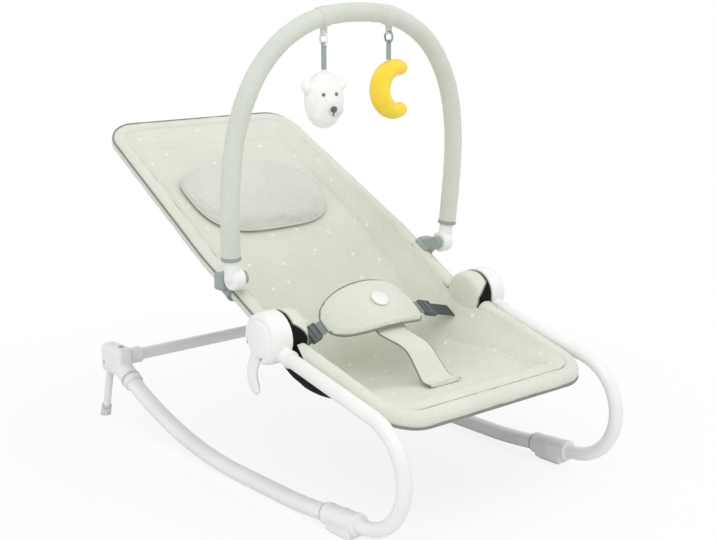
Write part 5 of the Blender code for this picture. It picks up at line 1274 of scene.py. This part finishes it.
def stuffed(mesh, voxel, cap):
    """Remeshes a closed shape and blows it up, as a sewn cover that is filled.

    A point may swell outwards by the cap and sink by a tenth of it, so that the sewn rim stays."""
    body = temporary_object(mesh)
    skin = body.modifiers.new("skin", "REMESH")
    skin.mode = "VOXEL"
    skin.voxel_size = voxel
    body = temporary_object(evaluated(body))
    start, normals = coordinates(body.data, "co"), coordinates(body.data, "normal")
    blown = blown_up(body)
    move = coordinates(blown, "co") - start
    swell = (move * normals).sum(1, keepdims=True)
    along = move - normals * swell
    length = np.linalg.norm(along, axis=1, keepdims=True)
    along *= np.minimum(1.0, cap / 4 / np.maximum(length, 1e-9))
    swell = np.clip(swell, -cap / 10, cap)
    blown.vertices.foreach_set("co", (start + normals * swell + along).astype(np.float32).ravel())
    print("swollen by", round(float(swell.mean()) * 1000, 2), "mm on average")
    body = temporary_object(blown)
    refine = body.modifiers.new("refine", "SUBSURF")
    refine.levels = refine.render_levels = 1
    made = evaluated(body)
    made.shade_smooth()
    return made


print("stuffing is", "simulated")


# %% Cushion helpers
def loop_on(place, halves, power, height, shrink=(1.0, 1.0), count=160):
    """Points of a rounded rectangle, put on what carries it by place(x, y, height)."""
    made = []
    for angle in np.arange(count) * 2 * math.pi / count:
        c, s = math.cos(angle), math.sin(angle)
        size = (abs(c) ** power + abs(s) ** power) ** (-1 / power)
        made.append(place(halves[0] * c * size * shrink[0], halves[1] * s * size * shrink[1], height))
    return made


def cushion(place, halves, power, crown, edge, rings=14, blunt=0.65):
    """A lens-shaped closed body that is fuller on top."""
    layers = []
    for rise in np.sin(np.linspace(-1, 1, 2 * rings + 1) * math.pi / 2):
        height = edge + crown * rise if rise > 0 else edge * (1 + rise) ** 2
        scale = max(0.0, 1 - rise * rise) ** (blunt / 2)
        tip = abs(rise) > 1 - 1e-9
        ring = loop_on(place, halves, power, height, (scale, scale), 96)
        layers.append([place(0, 0, height)] if tip else ring)
    return stacked(layers)


print("cushions can be made")

# %% Pillow
PILLOW_HALVES, PILLOW_POWER, PILLOW_CROWN, PILLOW_RIM = (0.128, 0.082), 3.0, 0.020, 0.0060
PILLOW_Y, PILLOW_SWELL, PILLOW_PIPING = 0.222, 0.005, 0.0019


def on_cover(x, along, height):
    y = PILLOW_Y + along * math.cos(BACK.slope)
    return Vector((x, y, cover_height(x, y) + 0.0008 + height))


pillow_mesh = cushion(on_cover, PILLOW_HALVES, PILLOW_POWER, PILLOW_CROWN, PILLOW_RIM)
pillow_mesh = stuffed(pillow_mesh, 0.004, PILLOW_SWELL)
for vertex in pillow_mesh.vertices:
    x, y, z = vertex.co
    rest = cover_height(x, y)
    fold = noise.noise(Vector((x * 22, y * 22, 1.0))) * 0.0012
    fold += noise.noise(Vector((x * 60, y * 60, 5.0))) * 0.0004
    vertex.co.z = max(z, rest + 0.0010) + fold * smooth_step((z - rest) / 0.012)
pillow = place_piece("pillow", pillow_mesh, pillow_cloth, "seat", "head_pillow")
rim = loop_on(on_cover, PILLOW_HALVES, PILLOW_POWER, PILLOW_RIM, (0.988, 0.988))
piping = tube(rim, PILLOW_PIPING, BACK.up, sides=12, closed=True)
place_piece("pillow_piping", piping, pillow_cloth, "seat")
row = loop_on(on_cover, PILLOW_HALVES, PILLOW_POWER, 0.2, (0.93, 0.93))
count = stitches("pillow_stitches", [landed(pillow_mesh, row + row[:1], -Z_AXIS)], thread, "seat")
print("pillow", len(pillow_mesh.vertices), "points,", count, "stitches")

# %% [markdown]
# ## The harness
#
# A curved waist panel lies over the child's middle, with a padded strip down between the legs, and
# dark webbing from each side ends in a flat buckle. The panel is stuffed like the pillow, and its
# edge has the same dark piping as the seat. A plain white disc is fixed to its middle.

# %% Waist panel
WAIST_HALVES, WAIST_POWER, WAIST_CROWN, WAIST_RIM = (0.092, 0.047), 2.6, 0.0066, 0.0040
WAIST_CENTRE, WAIST_TILT, WAIST_ARCH = Vector((0, -0.088, 0.252)), math.radians(34), 0.030
WAIST_PIPING, BADGE_HEIGHT = 0.0018, 0.0124
WAIST_ALONG = Vector((0, math.cos(WAIST_TILT), math.sin(WAIST_TILT)))
WAIST_UP = Vector((0, -math.sin(WAIST_TILT), math.cos(WAIST_TILT)))
BADGE_PROFILE = ((0, 0), (0.0136, 0), (0.0140, 0.0006), (0.0140, 0.0016), (0.0134, 0.0023), (0.0118, 0.0026),
                 (0.0112, 0.0022), (0.0104, 0.0022), (0.0098, 0.0026), (0, 0.0028))


def on_waist(x, along, height):
    arch = WAIST_ARCH * (x / WAIST_HALVES[0]) ** 2
    return WAIST_CENTRE + X_AXIS * x + WAIST_ALONG * along + WAIST_UP * (height - arch)


waist_mesh = cushion(on_waist, WAIST_HALVES, WAIST_POWER, WAIST_CROWN, WAIST_RIM, blunt=0.5)
waist_mesh = stuffed(waist_mesh, 0.003, 0.0014)
waist = place_piece("waist_pad", waist_mesh, sage_fuzzy, "seat", "waist_panel")
rim = loop_on(on_waist, WAIST_HALVES, WAIST_POWER, WAIST_RIM, (0.992, 0.992), 140)
place_piece("waist_piping", tube(rim, WAIST_PIPING, WAIST_UP, sides=12, closed=True), trim, "seat")
badge = smooth(turned(BADGE_PROFILE, on_waist(0, 0, BADGE_HEIGHT), WAIST_UP), 60)
place_piece("badge", badge, moulded_white, "seat", "harness_badge")
row = loop_on(on_waist, WAIST_HALVES, WAIST_POWER, 0.1, (0.92, 0.90), 140)
count = stitches("waist_stitches", [landed(waist_mesh, row + row[:1], -WAIST_UP)], thread, "seat")
print("waist panel", len(waist_mesh.vertices), "points,", count, "stitches")

# %% [markdown]
# The strip between the legs, the webbing and the tongues are all flat bodies along a path, so one
# helper makes them: at each step it asks how wide and how thick the strip is there.

# %% Crotch panel
CROTCH_WIDTH, CROTCH_END_WIDTH, CROTCH_THICKNESS = 0.047, 0.060, 0.0070
CROTCH_COLUMNS, CROTCH_SEAM, CROTCH_KNEE, CROTCH_REST = 25, 0.78, (-0.180, 0.207), (-0.220, -0.240)


def strip_rows(path, across, columns, section):
    """Upper and lower rows. section(index, s) gives the half width and both half thicknesses."""
    rows, low_rows = [], []
    for index, (place, ahead) in enumerate(zip(path, headings(path))):
        normal = across.cross(ahead).normalized()
        normal *= math.copysign(1, normal.z)
        cuts = [(s, *section(index, s)) for s in np.linspace(-1, 1, columns)]
        rows.append([place + across * half * s + normal * upper for s, half, upper, lower in cuts])
        low_rows.append([place + across * half * s - normal * lower for s, half, upper, lower in cuts])
    return rows, low_rows


def crotch_path():
    drop = WAIST_ARCH * (CROTCH_END_WIDTH / 2 / WAIST_HALVES[0]) ** 2
    lower = -CROTCH_THICKNESS / 2 - 0.001 - drop
    corners = [on_waist(0, -WAIST_HALVES[1] * share, lower) for share in (0.4, 1.1)]
    corners.append(Vector((0, *CROTCH_KNEE)))
    for y in CROTCH_REST:
        rest = max(cover_height(x, y) for x in (0, CROTCH_END_WIDTH / 2))
        corners.append(Vector((0, y, rest + CROTCH_THICKNESS / 2 + 0.001)))
    return finer(rounded(corners, (0.025, 0.050, 0.020)), 0.003)


def crotch_half(index):
    narrower = (CROTCH_END_WIDTH - CROTCH_WIDTH) * math.sin(math.pi * index / (len(path) - 1))
    return (CROTCH_END_WIDTH - narrower) / 2


def crotch_section(index, s):
    half = crotch_half(index)
    lower = CROTCH_THICKNESS / 2 * (0.25 + 0.75 * math.sqrt(max(0.0, 1 - abs(s) ** 2.6)))
    to_seam = (abs(s) - CROTCH_SEAM) * half
    pucker = 0.0003 * math.sin(index * 1.9) * seam_dip(to_seam, 0.006)
    return half, lower - 0.0009 * seam_dip(to_seam, 0.002) + pucker, lower


path = crotch_path()
rows, low_rows = strip_rows(path, X_AXIS, CROTCH_COLUMNS, crotch_section)
crotch_mesh = padded_mesh(rows, low_rows)
crotch = place_piece("crotch_pad", crotch_mesh, sage_plain, "seat", "crotch_panel")
edges = [[place + X_AXIS * sign * crotch_half(i) for i, place in enumerate(path)] for sign in (-1, 1)]
strips = [tube(edge, 0.0014, WAIST_UP, sides=12) for edge in edges]
place_piece("crotch_piping", joined(strips), trim, "seat")
seams = [[row[column] for row in rows[2:-2]] for column in (3, 21)] + [row[3:22] for row in rows[-5:-2:2]]
count = stitches("crotch_stitches", seams, thread, "seat", 0.0026)
print("crotch panel", len(path), "rows,", count, "stitches")

# %% [markdown]
# Webbing is a flat, stiff weave: a thin ribbon with rounded edges and a row of stitching near its
# end. The buckle is a rounded block with two openings, melted like the other mouldings.

# %% Webbing and buckles
WEBBING_WIDTH, WEBBING_THICKNESS, WEBBING_SIDE = 0.024, 0.0024, 0.158
BUCKLE_HALVES, BUCKLE_HOLE, BUCKLE_SHIFT = (0.011, 0.015, 0.0048), (0.0022, 0.0115, 0.0022), 0.0055
TONGUE_LENGTH, OVERLAP = 0.012, 0.002


def ribbon(start, end, across):
    def section(index, s):
        half = WEBBING_THICKNESS / 2 * (0.45 if abs(s) > 0.99 else 1.0)
        return WEBBING_WIDTH / 2, half, half

    return padded_mesh(*strip_rows(finer([start, end], 0.003), across, 9, section))


def webbing_ends(sign):
    """Where a side strap rests on the cover, and where it meets the waist panel."""
    rest = []
    for edge in (-WEBBING_WIDTH / 2, WEBBING_WIDTH / 2):
        y = WAIST_CENTRE.y + edge * WAIST_ALONG.y
        rest.append(cover_height(sign * WEBBING_SIDE, y) - edge * WAIST_ALONG.z)
    height = max(rest) + WEBBING_THICKNESS / 2 / WAIST_UP.z + GAP
    return (Vector((sign * WEBBING_SIDE, WAIST_CENTRE.y, height)),
            on_waist(sign * (WAIST_HALVES[0] + 0.0006), 0, 0.004))


for side, sign in SIDES.items():
    anchor, panel_end = webbing_ends(sign)
    length, line = (panel_end - anchor).length, (panel_end - anchor).normalized()
    across = WAIST_ALONG * sign
    up = across.cross(line).normalized()
    buckle_end = length - TONGUE_LENGTH
    buckle_start = buckle_end - 2 * BUCKLE_HALVES[0]
    strap = ribbon(anchor, anchor + line * (buckle_start + OVERLAP), across)
    place_piece(f"side_strap_{side}", strap, webbing, "seat", f"harness_webbing_{side}")
    tongue = ribbon(anchor + line * (buckle_end - OVERLAP), panel_end, across)
    place_piece(f"side_tongue_{side}", tongue, trim, "seat", f"buckle_tongue_{side}")
    turn = Matrix((line, across, up)).transposed().to_4x4()
    middle = anchor + line * (buckle_start + buckle_end) / 2
    holes = [brick(middle + line * shift + up * BUCKLE_HALVES[2], BUCKLE_HOLE, turn=turn)
             for shift in (-BUCKLE_SHIFT, BUCKLE_SHIFT)]
    buckle = moulded([brick(middle, BUCKLE_HALVES, 0.0028, turn)], holes, 0.0005, 2)
    place_piece(f"buckle_body_{side}", buckle, buckle_grey, "seat", f"buckle_{side}")
    bars = []
    for reach in (buckle_start - 0.0050, buckle_start - 0.0110):
        centre = anchor + line * reach + up * (WEBBING_THICKNESS / 2 + 0.0002)
        bars.append([centre - across * WEBBING_WIDTH * 0.40, centre + across * WEBBING_WIDTH * 0.40])
    stitches(f"strap_stitches_{side}", bars, grey_thread, "seat", 0.0020, 0.0010, 0.0007)
print("webbing", round(length, 3), "m from cover to panel")

# %% [markdown]
# ## The toy arch
#
# The arch is a bendable core inside a padded sleeve of the same sage cloth, drawn a little darker
# as painted shade. A seam runs along its inner side, the cloth creases slightly where it bends, and
# each end is bound with a grey tape. It stands in two white knuckles that turn on clips, and the
# clips snap over the seat frame.

# %% Arch path
ARCH_PIVOT, ARCH_LEAN = Vector((0, -0.0150, 0.3110)), math.radians(4.0)
ARCH_HALF, ARCH_NECK_HALF, ARCH_SPRING_Z, ARCH_TOP_Z, ARCH_POWER = 0.220, 0.2130, 0.430, 0.687, 2.4
ARCH_RISE = ARCH_TOP_Z - ARCH_SPRING_Z
ARCH_FACE = Vector((0, math.cos(ARCH_LEAN), math.sin(ARCH_LEAN)))


def arch_point(x, z):
    return Vector((x, ARCH_PIVOT.y - (z - ARCH_PIVOT.z) * math.tan(ARCH_LEAN), z))


def arch_side(sign, z):
    """A point of the arch's lower part, where it draws in to its neck."""
    drop = (ARCH_SPRING_Z - z) / (ARCH_SPRING_Z - ARCH_PIVOT.z)
    return arch_point(sign * (ARCH_HALF - (ARCH_HALF - ARCH_NECK_HALF) * drop**2), z)


def arch_over(x):
    """A point of the arch's upper part."""
    fall = (abs(x) / ARCH_HALF) ** ARCH_POWER
    return arch_point(x, ARCH_SPRING_Z + ARCH_RISE * (1 - fall) ** (1 / ARCH_POWER))


def arch_path(start_z):
    right = [arch_side(-1, z) for z in np.linspace(start_z, ARCH_SPRING_Z, 24, endpoint=False)]
    for angle in np.arange(90) / 90 * math.pi / 2:
        x, z = (size ** (2 / ARCH_POWER) for size in (math.cos(angle), math.sin(angle)))
        right.append(arch_point(-ARCH_HALF * x, ARCH_SPRING_Z + ARCH_RISE * z))
    return finer(mirrored(right + [arch_point(0, ARCH_TOP_Z)]), 0.004)


print("arch", ARCH_TOP_Z, "m high")

# %% Arch sleeve
ARCH_SLEEVE_RADIUS, ARCH_SLEEVE_END_Z, ARCH_AIM_Z = 0.0140, 0.341, 0.45
BINDING_RADIUS, BINDING_HEIGHTS = 0.0147, np.linspace(0.3405, 0.3460, 5)


def inward_from(place):
    return Vector((-place.x, 0, ARCH_AIM_Z - place.z)).normalized()


def arch_skin():
    """A tube with a seam on its inner side, fine creases beside it and a little looseness."""
    path = arch_path(ARCH_SLEEVE_END_Z)
    points = tube_points(path, ARCH_SLEEVE_RADIUS, ARCH_FACE, sides=40)
    for r, centre in enumerate(path):
        inward = inward_from(centre)
        for c, point in enumerate(points[r]):
            face = (Vector(point) - centre).normalized()
            inner = max(0.0, face.dot(inward))
            crease = 0.0007 * noise.noise(Vector((r * 0.34, c * 0.05, 2.0))) * inner**2
            seam = -0.0011 * seam_dip(face.dot(ARCH_FACE) - 0.78, 0.05) * (inner > 0.2)
            loose = 0.0005 * noise.noise(Vector(point) * 45)
            points[r, c] += np.array(face) * (crease + seam + loose)
    return grid_mesh(points, wrap=True, close_ends=True)


arch = place_piece("arch_padding", arch_skin(), sage_arch_shaded, "toy_bar", "arch_sleeve")
seam = []
for place in arch_path(ARCH_SLEEVE_END_Z + 0.016):
    out = (ARCH_FACE * 0.70 + inward_from(place) * 0.71).normalized()
    seam.append(place + out * (ARCH_SLEEVE_RADIUS + 0.0002))
count = stitches("arch_stitches", [seam], thread, "toy_bar")
for side, sign in SIDES.items():
    band = tube([arch_side(sign, z) for z in BINDING_HEIGHTS], BINDING_RADIUS, ARCH_FACE,
                sides=40, radii=[0.985, 1.0, 1.0, 1.0, 0.985])
    place_piece(f"arch_binding_{side}", band, strap_grey, "toy_bar")
print("arch sleeve with", count, "stitches")

# %% Knuckles
KNUCKLE_INNER, KNUCKLE_RADIUS = 0.2000, 0.0165
KNUCKLE_PROFILE = ((0, 0), (KNUCKLE_RADIUS - 0.001, 0), (KNUCKLE_RADIUS, 0.001), (KNUCKLE_RADIUS, 0.0145),
                   (0.0156, 0.0172), (0.0140, 0.0184), (0.0110, 0.0186), (0.0104, 0.0178), (0.0094, 0.0178),
                   (0.0088, 0.0186), (0, 0.0189))


def knuckle(sign):
    inner, out = at_side(sign * KNUCKLE_INNER, ARCH_PIVOT), X_AXIS * sign
    neck = rod(arch_side(sign, ARCH_PIVOT.z), arch_side(sign, ARCH_SLEEVE_END_Z - 0.0005), 0.0112)
    stub = rod(inner - out * 0.004, inner + out * 0.0155, 0.0055)
    core = rod(arch_side(sign, 0.3207), arch_side(sign, 0.350), 0.0083)
    return moulded([turned(KNUCKLE_PROFILE, inner, out), neck], [stub, core], 0.0007, 2)


both_sides("knuckle", knuckle, moulded_white, "toy_bar", "arch_knuckle")
print("knuckles", 2 * KNUCKLE_RADIUS, "m across")

# %% Clips
CLIP_Y, CLIP_LENGTH, CLIP_RADIUS = 0.0195, 0.028, 0.0175
CLIP_BLOCK, CLIP_BLOCK_HALVES = Vector((0.2045, CLIP_Y, 0.3010)), (0.0120, 0.0110, 0.0130)
CLIP_ARM_X = KNUCKLE_INNER - 0.0050


def clip(sign):
    reach = (CLIP_Y - BACK.point(0, 0).y) / BACK.along.y
    place, half = BACK.point(sign * BACK.half(reach), reach), BACK.along * CLIP_LENGTH / 2
    start, end = place - half, place + half
    solids = [rod(start, end, CLIP_RADIUS - 0.0006)]
    solids += [bar(start.lerp(end, share), BACK.along * 0.0026, CLIP_RADIUS) for share in (0.12, 0.88)]
    solids.append(brick(at_side(sign * CLIP_BLOCK.x, CLIP_BLOCK), CLIP_BLOCK_HALVES, 0.004))
    pivot, target = (at_side(sign * CLIP_ARM_X, aim) for aim in (ARCH_PIVOT, CLIP_BLOCK))
    line = target - pivot
    arm = block((-0.0042, -0.009, 0), (0.0042, 0.009, line.length))
    arm.transform(Matrix.Translation(pivot) @ Z_AXIS.rotation_difference(line).to_matrix().to_4x4())
    solids += [bar(pivot, X_AXIS * 0.0044, 0.0100), arm,
               rod(pivot, at_side(sign * (KNUCKLE_INNER + 0.015), ARCH_PIVOT), 0.0049)]
    bore = rod(start - BACK.along * 0.01, end + BACK.along * 0.01, SLEEVE_RADIUS + 0.0004)
    inner = place.x - sign * 0.004
    opening = block((min(0, inner), start.y - 0.035, start.z - 0.035),
                    (max(0, inner), end.y + 0.035, end.z + 0.035))
    return moulded(solids, [bore, opening], 0.0007, 2)


both_sides("frame_clip", clip, clip_grey, "seat", "arch_clip")
print("clips", CLIP_LENGTH, "m long")

# %% [markdown]
# ## The toys
#
# Each toy hangs from a band round the arch, by a ring and a short strap. One is a white plush
# animal's head with round ears and a grey muzzle, the other a fat yellow crescent. Both are stuffed
# plush, so they get their fullness from the same blowing up as the pillow, and a sewn seam.

# %% Bands, rings and straps
TOYS = {  # side: name, where its ring hangs, the strap's length, the ring's finish
    "right": ("animal", Vector((-0.062, -0.0409, 0.6582)), 0.040, moulded_white),
    "left": ("moon", Vector((0.064, -0.0409, 0.6578)), 0.030, strap_grey),
}
RING_RADIUS, RING_WIRE = 0.0085, 0.0016
RING_REACH = RING_RADIUS * math.cos(math.pi / 16)
BAND_WIDTH, BAND_RADIUS, BAND_SHARES = 0.022, 0.0154, [0.905, 0.95, 0.985] + [1.0] * 7 + [0.985, 0.95, 0.905]
STRAP_HALVES, EYE_RADIUS = (0.00425, 0.0015), 0.0022


def toy_band(hang):
    """A band round the arch with a tab below it, pierced for the ring."""
    path = [arch_over(hang.x + d) for d in np.linspace(-BAND_WIDTH / 2, BAND_WIDTH / 2, 13)]
    outer = tube(path, BAND_RADIUS, ARCH_FACE, sides=48, radii=BAND_SHARES)
    longer = [arch_over(hang.x + d) for d in np.linspace(-BAND_WIDTH, BAND_WIDTH, 9)]
    inside = tube(longer, ARCH_SLEEVE_RADIUS, ARCH_FACE, sides=48)
    tab = brick(path[6] - Z_AXIS * 0.0210, (0.0065, 0.0008, 0.0070), 0.0004)
    hole = bar(Vector((hang.x, path[6].y, hang.z + 0.0002)), Y_AXIS * 0.006, 0.0027)
    return moulded([outer, tab], [inside, hole], 0.0005, 1)


def toy_ring(hang):
    angles = np.arange(48) * 2 * math.pi / 48
    path = [hang + RING_REACH * Vector((0, math.sin(a), math.cos(a) - 1)) for a in angles]
    return tube(path, RING_WIRE, X_AXIS, sides=16, closed=True)


def toy_strap(hang, length):
    eye = hang - Z_AXIS * (2 * RING_REACH + EYE_RADIUS - RING_WIRE - GAP)
    top, (half_x, half_y) = eye + Z_AXIS * 2 * EYE_RADIUS, STRAP_HALVES
    strap = brick(top - Z_AXIS * length / 2, (half_x, half_y, length / 2), 0.0010)
    return moulded([strap], [bar(eye, Y_AXIS * 0.004, EYE_RADIUS)], 0.0004, 2), top.z - length


strap_ends = {}
for side, (kind, hang, length, ring_finish) in TOYS.items():
    body = f"{kind}_toy"
    place_piece(f"toy_loop_{side}", toy_band(hang), band_cloth_shaded, "toy_bar", f"toy_band_{side}")
    place_piece(f"{kind}_link", toy_ring(hang), ring_finish, body, f"{kind}_ring")
    mesh, strap_ends[side] = toy_strap(hang, length)
    place_piece(f"{kind}_tape", mesh, strap_grey, body, f"{kind}_strap")
print("straps end at", {side: round(z, 4) for side, z in strap_ends.items()})

# %% Animal's head
HEAD_HALVES, EAR_HALVES = Vector((0.0335, 0.0240, 0.0430)), (0.0122, 0.0078, 0.0098)
head_centre = Vector((*TOYS["right"][1].xy, strap_ends["right"] - HEAD_HALVES.z - GAP))


def fan(centre, first, last, steps, y, reach=0.1):
    """Points round a centre, well outside the toy, from which rays can look for its skin."""
    angles = np.radians(np.linspace(first, last, steps + 1))
    return [centre + Vector((reach * math.cos(a), y, reach * math.sin(a))) for a in angles]


solids = [egg(head_centre, HEAD_HALVES * 0.975)]
for sign in SIDES.values():
    turn = Matrix.Rotation(sign * math.radians(-28), 4, "Y")
    solids.append(egg(head_centre + Vector((sign * 0.0300, 0, 0.0200)), EAR_HALVES, turn))
head_mesh = stuffed(moulded(solids, (), 0.0012, 3), 0.0016, 0.0009)
head = place_piece("plush_head", head_mesh, white_plush, "animal_toy", "animal_head")
seam = landed(head_mesh, fan(head_centre, 52, 128, 40, -0.004), lambda place: head_centre - place, 0.0002)
stitches("head_stitches", [seam], thread, "animal_toy", 0.0022, 0.0012, 0.0007)
print("animal's head centre", tuple(round(v, 4) for v in head_centre))

# %% Animal's face
MUZZLE_HALVES = (0.0142, 0.0096, 0.0112)
NOSE_HALVES, EYE_HALVES = (0.0062, 0.0030, 0.0048), (0.0030, 0.0016, 0.0026)
EYES = {"right": -0.0165, "left": 0.0050}
EYE_UP, EYE_SUNK = 0.0095, 0.0004
muzzle_centre = head_centre + Vector((0.004, -0.0200, -0.0130))
muzzle_mesh = stuffed(moulded([egg(muzzle_centre, MUZZLE_HALVES)], (), 0.0010, 1), 0.0014, 0.0006)
muzzle = place_piece("plush_muzzle", muzzle_mesh, muzzle_plush, "animal_toy", "animal_muzzle")
nose = egg(muzzle_centre + Vector((-0.0080, -0.0076, 0.0012)), NOSE_HALVES)
place_piece("animal_nose", smooth(nose, 60), grey_plush, "animal_toy")
mouth = [muzzle_centre + Vector((-0.0076, -0.03, height)) for height in np.linspace(-0.0020, -0.0076, 7)]
mouth = landed(muzzle_mesh, mouth, Y_AXIS, 0.0002)
place_piece("animal_mouth", tube(mouth, 0.0011, X_AXIS, sides=10), eye_dark, "animal_toy")
for side, across in EYES.items():
    depth = math.sqrt(1 - (across / HEAD_HALVES.x) ** 2 - (EYE_UP / HEAD_HALVES.z) ** 2)
    eye = egg(head_centre + Vector((across, EYE_SUNK - HEAD_HALVES.y * depth, EYE_UP)), EYE_HALVES)
    place_piece(f"animal_eye_{side}", smooth(eye, 60), eye_dark, "animal_toy")
print("face with", len(EYES), "eyes")

# %% Moon
MOON_ARC, MOON_BODY, MOON_END, MOON_OPENING = 0.0325, 0.0165, 0.0100, math.radians(54)
MOON_ROUND_FROM, MOON_STEPS = 0.86, 96


def moon_radius(share):
    from_middle = abs(2 * share - 1)
    full = MOON_BODY + (MOON_END - MOON_BODY) * from_middle**2
    rounding = max(0.0, from_middle - MOON_ROUND_FROM) / (1 - MOON_ROUND_FROM)
    return max(0.0012, full * math.sqrt(max(0.0, 1 - rounding**2)))


def moon_skin():
    shares = [(1 - math.cos(math.pi * step / MOON_STEPS)) / 2 for step in range(MOON_STEPS + 1)]
    angles = [MOON_OPENING + (2 * math.pi - 2 * MOON_OPENING) * share for share in shares]
    path = [Vector((MOON_ARC * math.cos(a), 0, MOON_ARC * math.sin(a))) for a in angles]
    radii = [moon_radius(share) / MOON_BODY * 0.975 for share in shares]
    return tube(path, MOON_BODY, Y_AXIS, sides=40, radii=radii)


moon_low, moon_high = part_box("toy_moon")
skin = moon_skin()
skin_box = np.array([tuple(v.co) for v in skin.vertices])
arc_centre = (moon_low + moon_high) / 2 - Vector((skin_box.min(0) + skin_box.max(0)) / 2)
skin.transform(Matrix.Translation(arc_centre))
moon_mesh = stuffed(skin, 0.0018, 0.0010)
moon = place_piece("plush_moon", moon_mesh, yellow_plush, "moon_toy", "toy_moon")
seam = landed(moon_mesh, fan(arc_centre, 75, 285, 120, -0.003), lambda place: arc_centre - place, 0.0002)
stitches("moon_stitches", [seam], yellow_plush, "moon_toy", 0.0022, 0.0012, 0.0008)
print("moon from", tuple(round(v, 4) for v in moon_low), "to", tuple(round(v, 4) for v in moon_high))

# %% [markdown]
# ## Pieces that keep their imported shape
#
# The pins, plates, springs, seat discs, frame tubes and the arch's core are plain enough as they
# are, or hidden inside others. They keep their solids and get the real finishes.

# %% Kept pieces
PLASTIC_NODES = ("seat_disc", "arch_core")
kept = [item for item in nodes.values() if not item.hide_render]
for item in kept:
    finish = moulded_white if item.name.startswith(PLASTIC_NODES) else steel
    for holder in item.material_slots:
        holder.material = finish.material
print("kept", len(kept), "packed pieces")
